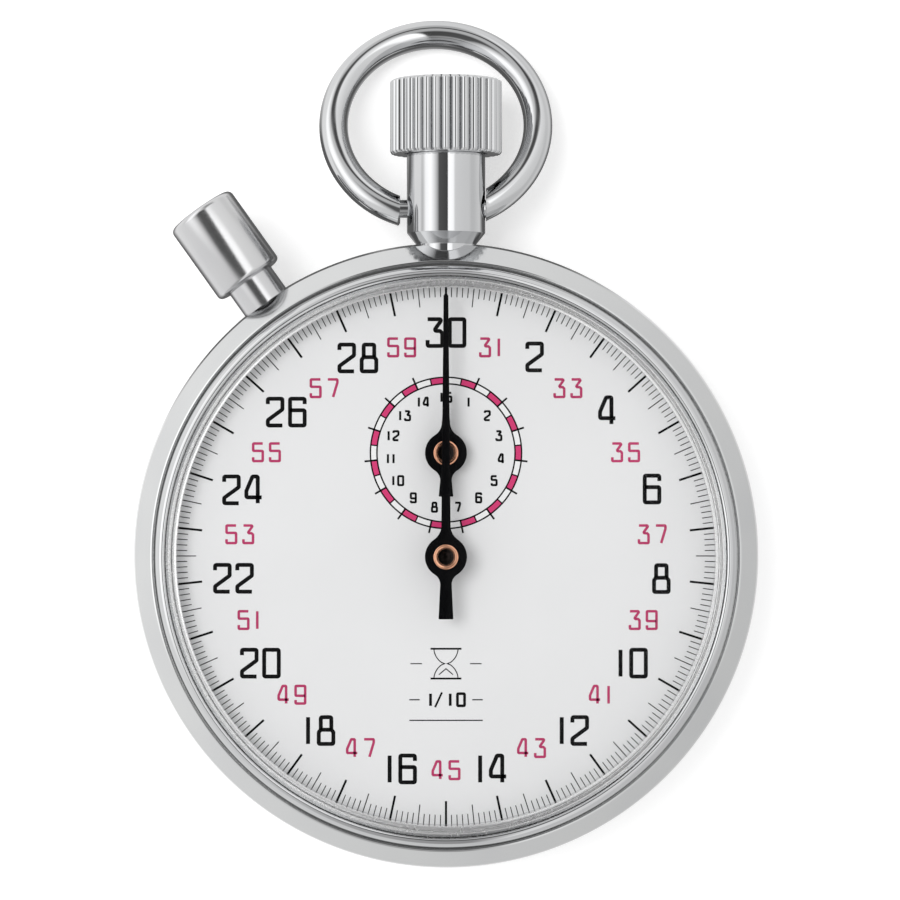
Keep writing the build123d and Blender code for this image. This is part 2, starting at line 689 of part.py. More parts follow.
with BuildPart() as pallet_bridge:
    plate_lug(PALLET_FEET, 2.2, BRIDGE_Z, BRIDGE_TOP_Z)
    for foot in PALLET_FEET:
        post(foot, 1.1, BRIDGE_TOP_Z, PLATE_Z)
        post(foot, SCREW_SHANK_R, BRIDGE_Z, PLATE_Z, mode=Mode.SUBTRACT)
    post(PALLET_AXIS, 1.3, BRIDGE_Z, BRIDGE_TOP_Z)
    post(PALLET_AXIS, JEWEL_R, BRIDGE_Z, BRIDGE_TOP_Z, mode=Mode.SUBTRACT)
finish(pallet_bridge.part, "pallet_bridge")

with BuildPart() as balance_cock:
    plate_lug([COCK_FOOT, BALANCE_AXIS], 3.8, COCK_Z, COCK_TOP_Z)
    post(COCK_FOOT, 2.0, COCK_TOP_Z, PLATE_Z)
    post(COCK_FOOT, SCREW_SHANK_R, COCK_Z, PLATE_Z, mode=Mode.SUBTRACT)
    post(BALANCE_AXIS, JEWEL_R, COCK_Z, COCK_TOP_Z, mode=Mode.SUBTRACT)
finish(balance_cock.part, "balance_cock")


def screw(centre, head_z, tip_z, head_r=SCREW_HEAD_R, shank_r=SCREW_SHANK_R):
    """A slotted screw with its head towards the back, in the current part."""
    post(centre, head_r, head_z - SCREW_HEAD_T, head_z)
    post(centre, shank_r, head_z, tip_z)
    with Locations((centre[0], centre[1], head_z - SCREW_HEAD_T)):
        Box(2 * head_r + 0.2, 0.25, 0.2, align=BASE, mode=Mode.SUBTRACT)


with BuildPart() as movement_screws:
    for pillar in (*BARREL_PILLARS, *TRAIN_PILLARS, *PALLET_FEET):
        screw(pillar, BRIDGE_Z, PLATE_Z + 1.0)
    screw(COCK_FOOT, COCK_Z, PLATE_Z + 1.0)
    screw(CROWN_WHEEL_AXIS, WINDING_Z, BRIDGE_TOP_Z)
    for rim in RIM_SCREWS:
        screw(rim, RING_Z, RING_Z + 2.0)
finish(movement_screws.part, "movement_screws")

with BuildPart() as jewels:
    for axis in (*TRAIN_AXES, PALLET_AXIS, BALANCE_AXIS):
        post(axis, JEWEL_R, PLATE_Z, PLATE_Z + JEWEL_T)
    for axis in (*TRAIN_AXES, PALLET_AXIS):
        post(axis, JEWEL_R, BRIDGE_TOP_Z - JEWEL_T, BRIDGE_TOP_Z)
    post(BALANCE_AXIS, JEWEL_R, COCK_TOP_Z - JEWEL_T, COCK_TOP_Z)
    for axis in (*TRAIN_AXES, PALLET_AXIS, BALANCE_AXIS):
        post(axis, PIVOT_HOLE_R, COCK_Z, PLATE_TOP_Z, mode=Mode.SUBTRACT)
    for axis in (SECONDS_AXIS, MINUTE_AXIS):
        post(axis, JEWEL_R + 0.1, PLATE_Z, PLATE_Z + JEWEL_T)
        post(axis, JEWEL_R, BRIDGE_TOP_Z - JEWEL_T, BRIDGE_TOP_Z)
        post(axis, HAND_ARBOR_R + FIT, BRIDGE_Z, PLATE_TOP_Z, mode=Mode.SUBTRACT)
finish(jewels.part, "jewels")

# ================================================================ mainspring barrel and winding
DRUM_R = 6.1
DRUM_Z = 6.75
RIM_Z = 7.9
RIM_TOP_Z = 8.4
COVER_T = 0.25
SPRING_Z = DRUM_Z + COVER_T + 0.1
SPRING_TOP_Z = RIM_Z + 0.1
SQUARE = 1.5

with BuildPart() as barrel_drum:
    toothed_disc(
        BARREL_AXIS, RIM_Z, RIM_TOP_Z, BARREL_TEETH, BARREL_MODULE, bearing(BARREL_AXIS, GREAT_AXIS), 0
    )
    post(BARREL_AXIS, DRUM_R, DRUM_Z + COVER_T, RIM_Z)
    post(BARREL_AXIS, DRUM_R - 0.4, DRUM_Z + COVER_T, RIM_Z + 0.2, mode=Mode.SUBTRACT)
    post(BARREL_AXIS, BARREL_ARBOR_R + FIT, RIM_Z, RIM_TOP_Z, mode=Mode.SUBTRACT)
finish(barrel_drum.part, "barrel_drum")

with BuildPart() as barrel_cover:
    post(BARREL_AXIS, DRUM_R, DRUM_Z, DRUM_Z + COVER_T)
    post(BARREL_AXIS, BRIDGE_ARBOR_R + FIT, DRUM_Z, DRUM_Z + COVER_T, mode=Mode.SUBTRACT)
finish(barrel_cover.part, "barrel_cover")

with BuildPart() as mainspring:
    spiral(BARREL_AXIS, SPRING_Z, SPRING_TOP_Z, 1.75, DRUM_R - 0.6, 9, 0.16)
finish(mainspring.part, "mainspring")

with BuildPart() as barrel_arbor:
    stepped_arbor(
        BARREL_AXIS,
        [
            (BARREL_ARBOR_R, RIM_Z, PLATE_TOP_Z - 0.2),
            (1.5, SPRING_Z, SPRING_TOP_Z),
            (BRIDGE_ARBOR_R, BRIDGE_Z, SPRING_Z),
        ],
    )
    with Locations((*BARREL_AXIS, WINDING_Z)):
        Box(SQUARE, SQUARE, BRIDGE_Z - WINDING_Z, align=BASE)
    post(BARREL_AXIS, RATCHET_SCREW_R, WINDING_Z, BRIDGE_TOP_Z, mode=Mode.SUBTRACT)
finish(barrel_arbor.part, "barrel_arbor")

with BuildPart() as ratchet_wheel:
    toothed_disc(
        BARREL_AXIS,
        WINDING_Z,
        BRIDGE_Z - 0.05,
        RATCHET_TEETH,
        WINDING_MODULE,
        facing(BARREL_AXIS, CROWN_WHEEL_AXIS, RATCHET_TEETH),
        0,
    )
    with Locations((*BARREL_AXIS, WINDING_Z)):
        Box(SQUARE, SQUARE, BRIDGE_Z - WINDING_Z, align=BASE, mode=Mode.SUBTRACT)
finish(ratchet_wheel.part, "ratchet_wheel")

with BuildPart() as ratchet_screw:
    screw(BARREL_AXIS, WINDING_Z, BRIDGE_TOP_Z, 1.4, RATCHET_SCREW_R)
finish(ratchet_screw.part, "ratchet_screw")

FACE_NEAR = 3.4
FACE_FAR = 4.6
FACE_TOOTH_TOP_Z = 5.95
PINION_Y = 17.9
PINION_HUB_Y = 19.1

with BuildPart() as crown_wheel:
    toothed_disc(
        CROWN_WHEEL_AXIS,
        WINDING_Z,
        BRIDGE_Z - 0.05,
        CROWN_WHEEL_TEETH,
        WINDING_MODULE,
        bearing(CROWN_WHEEL_AXIS, BARREL_AXIS),
        SCREW_SHANK_R + FIT,
    )
    with BuildSketch(Plane((*CROWN_WHEEL_AXIS, BRIDGE_Z - 0.05))) as face_teeth:
        with PolarLocations((FACE_NEAR + FACE_FAR) / 2, CROWN_FACE_TEETH, start_angle=90):
            Rectangle(FACE_FAR - FACE_NEAR, 0.26)
    extrude(face_teeth.sketch, amount=FACE_TOOTH_TOP_Z - BRIDGE_Z + 0.05)
finish(crown_wheel.part, "crown_wheel")

with BuildPart() as winding_pinion:
    with BuildSketch(Plane((0, PINION_Y, AXIS_Z), x_dir=(1, 0, 0), z_dir=(0, 1, 0))):
        with BuildLine():
            Polyline(
                *tooth_ring(WINDING_PINION_TEETH, WINDING_MODULE, 90 + 180 / WINDING_PINION_TEETH, 0.4, 0.14),
                close=True,
            )
        make_face()
    extrude(amount=PINION_HUB_Y - PINION_Y)
    shaft(PINION_HUB_Y, PINION_HUB_Y + 0.6, 1.2)
    shaft(PINION_Y, PINION_HUB_Y + 0.6, STEM_R + FIT, mode=Mode.SUBTRACT)
finish(winding_pinion.part, "winding_pinion")

with BuildPart() as click:
    plate_lug([CLICK_AXIS, step(BARREL_AXIS, 6.85, 74)], 0.9, WINDING_Z, BRIDGE_Z - 0.05)
    post(CLICK_AXIS, 1.0, WINDING_Z, BRIDGE_Z - 0.05)
    post(CLICK_AXIS, STUD_R + FIT, WINDING_Z, BRIDGE_Z, mode=Mode.SUBTRACT)
finish(click.part, "click")

CLICK_SPRING_FOOT = step(BARREL_AXIS, 8.9, 48)
with BuildPart() as click_spring:
    blade = [CLICK_SPRING_FOOT, step(BARREL_AXIS, 8.6, 60), step(BARREL_AXIS, 7.6, 73)]
    plate_lug(blade, 0.25, WINDING_Z + 0.1, BRIDGE_Z - 0.2)
    post(CLICK_SPRING_FOOT, 0.7, WINDING_Z, BRIDGE_Z)
finish(click_spring.part, "click_spring")

# ================================================================ going train
finish(
    crossed_wheel(
        GREAT_AXIS, 6.4, 6.6, GREAT_TEETH, GREAT_MODULE, bearing(GREAT_AXIS, THIRD_AXIS), 0.4, 5
    ),
    "great_wheel",
)

with BuildPart() as great_pinion:
    stepped_arbor(GREAT_AXIS, [(PIVOT_R, PIVOT_Z, PIVOT_TOP_Z), (0.4, ARBOR_Z, ARBOR_TOP_Z)])
    toothed_disc(
        GREAT_AXIS,
        RIM_Z,
        RIM_TOP_Z,
        GREAT_LEAVES,
        BARREL_MODULE,
        facing(GREAT_AXIS, BARREL_AXIS, GREAT_LEAVES),
        0,
    )
finish(great_pinion.part, "great_pinion")

finish(
    crossed_wheel(
        THIRD_AXIS, 7.3, 7.5, THIRD_TEETH, THIRD_MODULE, bearing(THIRD_AXIS, SECONDS_AXIS), 0.3, 5
    ),
    "third_wheel",
)

with BuildPart() as third_pinion:
    stepped_arbor(THIRD_AXIS, [(PIVOT_R, PIVOT_Z, PIVOT_TOP_Z), (0.3, ARBOR_Z, ARBOR_TOP_Z)])
    toothed_disc(
        THIRD_AXIS, 6.38, 6.8, THIRD_LEAVES, GREAT_MODULE, facing(THIRD_AXIS, GREAT_AXIS, THIRD_LEAVES), 0
    )
finish(third_pinion.part, "third_pinion")

finish(
    crossed_wheel(
        SECONDS_AXIS, 7.9, 8.1, SECONDS_TEETH, SECONDS_MODULE, bearing(SECONDS_AXIS, ESCAPE_AXIS), 0.4, 5
    ),
    "seconds_wheel",
)

with BuildPart() as seconds_arbor:
    stepped_arbor(
        SECONDS_AXIS,
        [(HAND_ARBOR_R, HAMMER_Z - 0.1, 12.3), (HAND_SEAT_R, 12.3, SECONDS_HAND_Z + HAND_T + FIT)],
    )
    toothed_disc(
        SECONDS_AXIS,
        7.15,
        7.7,
        SECONDS_LEAVES,
        THIRD_MODULE,
        facing(SECONDS_AXIS, THIRD_AXIS, SECONDS_LEAVES),
        0,
    )
    toothed_disc(
        SECONDS_AXIS, 3.4, 3.9, COUNTER_LEAVES, TRANSFER_MODULE, bearing(SECONDS_AXIS, TRANSFER_AXIS), 0
    )
finish(seconds_arbor.part, "seconds_arbor")

with BuildPart() as transfer_wheel:
    toothed_disc(
        TRANSFER_AXIS,
        TRANSFER_Z,
        TRANSFER_Z + 0.25,
        TRANSFER_TEETH,
        TRANSFER_MODULE,
        facing(TRANSFER_AXIS, SECONDS_AXIS, TRANSFER_TEETH),
        0,
    )
    toothed_disc(
        TRANSFER_AXIS,
        TRANSFER_Z + 0.25,
        4.4,
        TRANSFER_LEAVES,
        MINUTE_MODULE,
        bearing(TRANSFER_AXIS, MINUTE_AXIS),
        0,
    )
    post(TRANSFER_AXIS, 0.3 + FIT, TRANSFER_Z, 4.5, mode=Mode.SUBTRACT)
finish(transfer_wheel.part, "transfer_wheel")

finish(
    crossed_wheel(
        MINUTE_AXIS,
        COUNTER_Z,
        COUNTER_Z + 0.25,
        MINUTE_TEETH,
        MINUTE_MODULE,
        facing(MINUTE_AXIS, TRANSFER_AXIS, MINUTE_TEETH),
        0.4,
        4,
    ),
    "minute_wheel",
)

with BuildPart() as minute_arbor:
    stepped_arbor(
        MINUTE_AXIS,
        [(HAND_ARBOR_R, HAMMER_Z - 0.1, 11.2), (HAND_SEAT_R, 11.2, MINUTE_HAND_Z + HAND_T + FIT)],
    )
finish(minute_arbor.part, "minute_arbor")


def heart(centre, low, large, small, lobe):
    """A heart-shaped return cam: two round lobes and a point opposite its notch."""
    with BuildPart() as piece:
        with BuildSketch(Plane((centre[0], centre[1], low))):
            with BuildLine():
                left = ThreePointArc((0, -small), (-lobe, -small * 0.9), (-large * 0.8, 0))
                flank = Spline(left @ 1, (-large * 0.55, large * 0.62), (0, large))
                Line(flank @ 1, (0, -small))
            make_face()
            mirror(about=Plane.YZ)
            Circle(HAND_ARBOR_R, mode=Mode.SUBTRACT)
        extrude(amount=LEVER_T)
    return piece.part


finish(heart(SECONDS_AXIS, HAMMER_Z, 1.85, 0.75, 1.0), "seconds_heart")
finish(heart(MINUTE_AXIS, HAMMER_Z, 1.6, 0.7, 0.9), "minute_heart")

with BuildPart() as minute_jumper:
    plate_lug([JUMPER_AXIS, (-5.4, 8.6), step(MINUTE_AXIS, 4.72, 205)], 0.35, COUNTER_Z, COUNTER_Z + 0.25)
    post(JUMPER_AXIS, 0.8, COUNTER_Z, BRIDGE_Z)
finish(minute_jumper.part, "minute_jumper")

# ================================================================ escapement and balance
with BuildPart() as escape_wheel:
    with BuildSketch(Plane((*ESCAPE_AXIS, FORK_Z))):
        with BuildLine():
            Polyline(
                *[
                    step((0, 0), reach, (tooth + shift) * 360 / ESCAPE_TEETH)
                    for tooth in range(ESCAPE_TEETH)
                    for reach, shift in ((2.25, 0), (2.9, 0.3), (ESCAPE_R, 0.48), (2.82, 0.55), (2.3, 0.32))
                ],
                close=True,
            )
        make_face()
        Circle(1.85, mode=Mode.SUBTRACT)
        with PolarLocations(0, 5):
            Rectangle(2.1, 0.3, align=(Align.MIN, Align.CENTER))
        Circle(0.65)
        Circle(0.25, mode=Mode.SUBTRACT)
    extrude(amount=FORK_TOP_Z - FORK_Z)
finish(escape_wheel.part, "escape_wheel")

with BuildPart() as escape_pinion:
    stepped_arbor(ESCAPE_AXIS, [(PIVOT_R, PIVOT_Z, PIVOT_TOP_Z), (0.25, ARBOR_Z, ARBOR_TOP_Z)])
    toothed_disc(
        ESCAPE_AXIS,
        7.75,
        8.3,
        ESCAPE_LEAVES,
        SECONDS_MODULE,
        facing(ESCAPE_AXIS, SECONDS_AXIS, ESCAPE_LEAVES),
        0,
    )
finish(escape_pinion.part, "escape_pinion")

STONE_ANGLES = (BALANCE_LINE - 30, BALANCE_LINE + 30)
STONE_REACH = 3.6
STONE_LENGTH = 0.8
STONE_T = 0.3
STONE_Z = FORK_Z + 0.05
FORK_END = step(PALLET_AXIS, 3.75, BALANCE_LINE)

with BuildPart() as pallet_fork:
    plate_lug([step(ESCAPE_AXIS, 4.0, STONE_ANGLES[0]), PALLET_AXIS, FORK_END], 0.5, FORK_Z, FORK_TOP_Z)
    plate_lug([step(ESCAPE_AXIS, 4.0, STONE_ANGLES[1]), PALLET_AXIS], 0.5, FORK_Z, FORK_TOP_Z)
    for side in (-90, 90):
        horn = step(step(PALLET_AXIS, 3.95, BALANCE_LINE), 0.35, BALANCE_LINE + side)
        plate_lug([FORK_END, horn], 0.2, FORK_Z, FORK_TOP_Z)
    stepped_arbor(PALLET_AXIS, [(PIVOT_R, PIVOT_Z, PIVOT_TOP_Z), (0.28, ARBOR_Z, ARBOR_TOP_Z)])
    for angle in STONE_ANGLES:
        with Locations(Location((*step(ESCAPE_AXIS, STONE_REACH, angle), STONE_Z), (0, 0, angle))):
            Box(STONE_LENGTH + 0.1, STONE_T, STONE_T, mode=Mode.SUBTRACT)
finish(pallet_fork.part, "pallet_fork")

with BuildPart() as pallet_stones:
    for angle in STONE_ANGLES:
        with Locations(Location((*step(ESCAPE_AXIS, STONE_REACH, angle), STONE_Z), (0, 0, angle))):
            Box(STONE_LENGTH, STONE_T, STONE_T)
finish(pallet_stones.part, "pallet_stones")

BALANCE_Z = 6.45
STAFF_R = 0.3
IMPULSE_Z, IMPULSE_TOP_Z = 7.2, 7.5
with BuildPart() as balance_wheel:
    with BuildSketch(Plane((*BALANCE_AXIS, BALANCE_Z))):
        Circle(BALANCE_R)
        Circle(BALANCE_R - 0.6, mode=Mode.SUBTRACT)
        Rectangle(2 * BALANCE_R - 0.6, 0.6)
        Circle(0.9)
        Circle(STAFF_R, mode=Mode.SUBTRACT)
    extrude(amount=0.45)
finish(balance_wheel.part, "balance_wheel")

with BuildPart() as balance_staff:
    stepped_arbor(
        BALANCE_AXIS,
        [
            (PIVOT_R, COCK_TOP_Z - 0.45, PIVOT_TOP_Z),
            (STAFF_R, COCK_TOP_Z + FIT, ARBOR_TOP_Z),
            (0.55, HAIRSPRING_Z, HAIRSPRING_TOP_Z),
            (0.8, IMPULSE_TOP_Z, IMPULSE_TOP_Z + 0.15),
        ],
    )
    post(step(BALANCE_AXIS, 0.62, BALANCE_LINE + 180), 0.1, IMPULSE_Z, IMPULSE_TOP_Z)
finish(balance_staff.part, "balance_staff")

HAIRSPRING_TURNS = 8.5
with BuildPart() as hairspring:
    spiral(BALANCE_AXIS, HAIRSPRING_Z, HAIRSPRING_TOP_Z, 0.6, 2.7, HAIRSPRING_TURNS, 0.06)
    post(step(BALANCE_AXIS, 2.85, 360 * HAIRSPRING_TURNS), 0.25, COCK_TOP_Z, HAIRSPRING_TOP_Z)
finish(hairspring.part, "hairspring")

# ================================================================ start, brake and return levers
with BuildPart() as column_wheel:
    with BuildSketch(Plane((*COLUMN_AXIS, RATCHET_Z))):
        with BuildLine():
            Polyline(
                *[
                    step((0, 0), reach, (tooth + shift) * 360 / COLUMN_TEETH)
                    for tooth in range(COLUMN_TEETH)
                    for reach, shift in ((2.2, 0), (2.6, 0.75), (2.6, 0.9))
                ],
                close=True,
            )
        make_face()
    extrude(amount=RATCHET_TOP_Z - RATCHET_Z)
    with BuildSketch(Plane((*COLUMN_AXIS, COLUMN_Z))) as columns:
        with PolarLocations(1.85, COLUMNS):
            Rectangle(0.9, 0.85)
        Circle(2.3, mode=Mode.INTERSECT)
    extrude(columns.sketch, amount=RATCHET_Z - COLUMN_Z)
    post(COLUMN_AXIS, 1.1, COLUMN_Z + 0.4, RATCHET_Z)
    post(COLUMN_AXIS, POST_R + FIT, COLUMN_Z, RATCHET_TOP_Z, mode=Mode.SUBTRACT)
finish(column_wheel.part, "column_wheel")

# The start lever's post stands in front of the push collar and passes under the stem.
START_POST = (-1.6, 21.75)
START_POST_TOP_Z = AXIS_Z - STEM_R - 0.2
with BuildPart() as start_lever:
    arms = [START_POST, (-3.6, 19.6), START_LEVER_AXIS, (-11.6, 9.4), (-13.3, 6.0)]
    plate_lug(arms, 1.1, LEVER_Z, LEVER_Z + LEVER_T)
    post(START_LEVER_AXIS, 1.2, LEVER_Z, LEVER_Z + LEVER_T)
    post(START_POST, 0.4, LEVER_Z, START_POST_TOP_Z)
    post(START_LEVER_AXIS, STUD_R + FIT, LEVER_Z, LEVER_Z + LEVER_T, mode=Mode.SUBTRACT)
finish(start_lever.part, "start_lever")

MINUTE_FACE = (-3.6, 9.0)
SECONDS_FACE = (0.0, 4.35)
with BuildPart() as reset_hammer:
    plate_lug([HAMMER_POST, (-11.2, 9.0), HAMMER_AXIS], 1.2, HAMMER_Z, HAMMER_Z + LEVER_T)
    plate_lug([HAMMER_AXIS, (-6.6, 5.6), MINUTE_FACE], 0.9, HAMMER_Z, HAMMER_Z + LEVER_T)
    plate_lug([(-6.6, 5.6), (-2.8, 4.9), SECONDS_FACE], 0.9, HAMMER_Z, HAMMER_Z + LEVER_T)
    post(HAMMER_AXIS, 1.2, HAMMER_Z, HAMMER_Z + LEVER_T)
    post(HAMMER_POST, 0.5, HAMMER_Z, AXIS_Z + 0.6)
    post(HAMMER_AXIS, POST_R + FIT, HAMMER_Z, HAMMER_Z + LEVER_T, mode=Mode.SUBTRACT)
finish(reset_hammer.part, "reset_hammer")

HAMMER_SPRING_STUD = (-17.4, 9.6)
with BuildPart() as hammer_spring:
    post(HAMMER_SPRING_STUD, 0.7, HAMMER_Z, PLATE_Z)
    plate_lug([HAMMER_SPRING_STUD, (-15.8, 11.6), (-12.4, 11.4)], 0.3, HAMMER_Z + 0.1, HAMMER_Z + 0.5)
finish(hammer_spring.part, "hammer_spring")

BRAKE_POST = (-17.3, -0.4)
with BuildPart() as brake_lever:
    plate_lug([BRAKE_POST, BRAKE_AXIS, step(BALANCE_AXIS, BALANCE_R + 0.6, 140)], 0.8, BRAKE_Z, BRAKE_TOP_Z)
    post(BRAKE_AXIS, 0.9, BRAKE_Z, BRAKE_TOP_Z)
    post(BRAKE_POST, 0.4, LEVER_Z - 0.1, BRAKE_TOP_Z)
    post(BRAKE_AXIS, STUD_R + FIT, BRAKE_Z, BRAKE_TOP_Z, mode=Mode.SUBTRACT)
finish(brake_lever.part, "brake_lever")
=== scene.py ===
import json
import math

import bmesh
import bpy
from mathutils import Matrix, Vector


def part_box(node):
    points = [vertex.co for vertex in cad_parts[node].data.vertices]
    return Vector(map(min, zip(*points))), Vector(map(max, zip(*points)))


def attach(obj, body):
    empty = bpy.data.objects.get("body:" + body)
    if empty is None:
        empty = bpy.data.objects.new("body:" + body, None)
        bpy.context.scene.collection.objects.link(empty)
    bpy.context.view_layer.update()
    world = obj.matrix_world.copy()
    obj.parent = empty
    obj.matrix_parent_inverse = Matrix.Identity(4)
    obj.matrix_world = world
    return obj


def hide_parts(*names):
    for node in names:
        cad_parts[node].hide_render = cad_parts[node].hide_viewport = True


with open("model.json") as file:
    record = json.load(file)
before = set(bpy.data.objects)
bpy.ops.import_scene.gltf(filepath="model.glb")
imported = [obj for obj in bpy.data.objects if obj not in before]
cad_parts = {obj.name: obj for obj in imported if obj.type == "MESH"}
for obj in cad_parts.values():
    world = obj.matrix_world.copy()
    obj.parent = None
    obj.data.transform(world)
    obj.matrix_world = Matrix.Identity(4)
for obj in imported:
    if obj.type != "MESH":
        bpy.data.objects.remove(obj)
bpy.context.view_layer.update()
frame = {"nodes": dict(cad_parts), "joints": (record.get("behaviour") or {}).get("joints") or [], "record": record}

# Lengths on the object are in millimetres; MM turns them into metres when a mesh is made.
# The studio (camera, floor, lamp) and the scales of the textures are in metres.
MM = 0.001


def box(node):
    """A CAD node's lowest and highest corners in millimetres."""
    low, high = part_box(node)
    return [value / MM for value in low], [value / MM for value in high]


# ---------------------------------------------------------------- sizes read from the frame
CASE_LOW, CASE_HIGH = box("middle_case")
BACK_TOP = box("case_back")[1][2]
BEZEL_LOW, BEZEL_HIGH = box("bezel")
CRYSTAL_LOW, CRYSTAL_HIGH = box("crystal")
DIAL_HIGH = box("dial")[1]
CROWN_LOW, CROWN_HIGH = box("crown")
PENDANT_HIGH = box("pendant_tube")[1]
SECONDS_LOW, SECONDS_HIGH = box("seconds_hand")
MINUTE_LOW, MINUTE_HIGH = box("minute_hand")
SECONDS_COLLET_LOW, SECONDS_COLLET_HIGH = box("seconds_collet")
MINUTE_COLLET_LOW, MINUTE_COLLET_HIGH = box("minute_collet")

CASE_R, CASE_TOP = CASE_HIGH[0], CASE_HIGH[2]
BEZEL_R, BEZEL_TOP = BEZEL_HIGH[0], BEZEL_HIGH[2]
CRYSTAL_R, CRYSTAL_TOP = CRYSTAL_HIGH[0], CRYSTAL_HIGH[2]
CRYSTAL_SEAT = CRYSTAL_LOW[2]
PENDANT_R, PENDANT_TOP = PENDANT_HIGH[0], PENDANT_HIGH[1]
CROWN_R, CROWN_BASE, CROWN_TOP = CROWN_HIGH[0], CROWN_LOW[1], CROWN_HIGH[1]
DIAL_R = DIAL_HIGH[0]
DIAL_TOP = DIAL_HIGH[2]
AXIS_Z = (CROWN_LOW[2] + CROWN_HIGH[2]) / 2
JOINTS = {joint["name"]: joint for joint in frame["joints"]}
BOW_PIVOT = Vector(JOINTS["bow_swing"]["pos_m"]) / MM
BUTTON_DIRECTION = -Vector(JOINTS["pusher_press"]["axis"]).normalized()
MINUTE_AXIS = Vector(JOINTS["minutes_turn"]["pos_m"]) / MM

# ---------------------------------------------------------------- sizes of what the frame leaves open
DIAL_VISIBLE_R = 23.45
DIAL_T, DIAL_HOLE_R = 0.45, 0.8
BAND_MOUTH_R, BAND_BORE_R = 25.5, 24.2
BEZEL_SEAT = BEZEL_LOW[2] + 0.35
BEZEL_NECK_R = 24.18
BACK_RIM_R, BACK_BORE_R, BACK_WALL = 25.3, 23.6, 0.8
BACK_STEP = BACK_TOP - 1.2
CRYSTAL_SHOULDER, CRYSTAL_SHOULDER_RISE, CRYSTAL_WALL_TOP, CRYSTAL_LIP = 0.8, 0.85, 13.9, 0.04
SEAT_RING_IN, SEAT_RING_OUT = 23.36, 24.30
PENDANT_BORE_R, PENDANT_SPIGOT_R, PENDANT_NECK_R = 1.4, 2.2, 2.65
PENDANT_START, PENDANT_COLLAR, PENDANT_NECK, PENDANT_SHOULDER = 24.6, 26.6, 27.35, 28.35
CROWN_FLUTES, FLUTE_DEPTH, FLUTE_SHARPNESS = 34, 0.5, 0.55
CROWN_SKIRT, CROWN_FLUTED_RIM = 3.0, 0.62
SLIDING_GAP = 0.2
BUTTON_NEAR, BUTTON_FAR, BUTTON_ROOF = 29.75, 37.4, 1.6
BUTTON_R, BUTTON_TUBE_R, BUTTON_TUBE_START, BUTTON_TUBE_END = 3.18, 2.2, 26.0, 32.2
BUTTON_TUBE_BORE_R, BUTTON_GAP = 0.85, 0.1
BUTTON_ROD_R, BUTTON_ROD_END = 0.8, 19.95
BUTTON_COLLAR_R, BUTTON_COLLAR_NEAR, BUTTON_COLLAR_FAR = 1.4, 22.7, 23.3
BOW_WIRE_R, BOW_RING_R, BOW_RING_REACH, BOW_RING_OFFSET = 1.28, 9.1, 8.32, -0.92
BOW_LEFT_END, BOW_RIGHT_END = -4.05, 3.53
BOW_ARC_START, BOW_ARC_END = math.radians(-66), math.radians(254)
BOW_CUT_REACH = 2.4
BOW_PIN_R, BOW_PIN_INNER, BOW_PIN_BURIED = 0.8, 1.7, 0.4
PRINT_T, PRINT_BURIED = 0.014, 0.004
DIAL_SECONDS = 30


# ================================================================ mesh helpers
def piece_from(name, vertices, faces, body, slot, material, replaced=(), sharp=32):
    """Make one visible piece from millimetre vertices, tidy it, and tie it to its body."""
    mesh = bpy.data.meshes.new(name)
    mesh.from_pydata([Vector(v) * MM for v in vertices], [], faces)
    work = bmesh.new()
    work.from_mesh(mesh)
    bmesh.ops.remove_doubles(work, verts=work.verts, dist=1e-8)
    bmesh.ops.recalc_face_normals(work, faces=work.faces)
    work.to_mesh(mesh)
    work.free()
    for polygon in mesh.polygons:
        polygon.use_smooth = True
    mesh.set_sharp_from_angle(angle=math.radians(sharp))
    mesh.materials.append(material)
    piece = bpy.data.objects.new(name, mesh)
    bpy.context.collection.objects.link(piece)
    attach(piece, body)
    if replaced:
        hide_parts(*replaced)
    return piece


def rounded(outline, closed=True, steps=6):
    """Replace each (x, y, radius) corner by an arc; a corner with no radius stays sharp."""
    result = []
    count = len(outline)
    for index, corner in enumerate(outline):
        point = Vector(corner[:2])
        radius = corner[2] if len(corner) > 2 else 0
        if radius == 0 or (not closed and index in (0, count - 1)):
            result.append(point)
            continue
        back = Vector(outline[index - 1][:2]) - point
        ahead = Vector(outline[(index + 1) % count][:2]) - point
        half = back.angle(ahead) / 2
        reach = min(radius / math.tan(half), 0.49 * back.length, 0.49 * ahead.length)
        start = point + back.normalized() * reach
        end = point + ahead.normalized() * reach
        real_radius = reach * math.tan(half)
        middle = point + (back.normalized() + ahead.normalized()).normalized() * real_radius / math.sin(half)
        first = start - middle
        last = end - middle
        sweep = first.angle_signed(last)
        for step in range(steps + 1):
            result.append(middle + Matrix.Rotation(-sweep * step / steps, 2) @ first)
    return result


def lathe(outline, place=Matrix(), steps=256, closed=True, ripple=None):
    """Vertices and faces of an outline of (radius, height) points turned about a local Z axis."""
    vertices = []
    faces = []
    count = len(outline)
    for turn in range(steps):
        angle = math.tau * turn / steps
        for radius, height in outline:
            reach = ripple(radius, height, angle) if ripple else radius
            vertices.append(place @ Vector((reach * math.cos(angle), reach * math.sin(angle), height)))
    spans = count if closed else count - 1
    for turn in range(steps):
        here = turn * count
        there = ((turn + 1) % steps) * count
        for span in range(spans):
            after = (span + 1) % count
            faces.append((here + span, there + span, there + after, here + after))
    return vertices, faces


def placed_on(origin, direction):
    """A matrix that stands a lathe's local Z axis on a point, along a direction."""
    return Matrix.Translation(origin) @ Vector(direction).to_track_quat("Z", "Y").to_matrix().to_4x4()


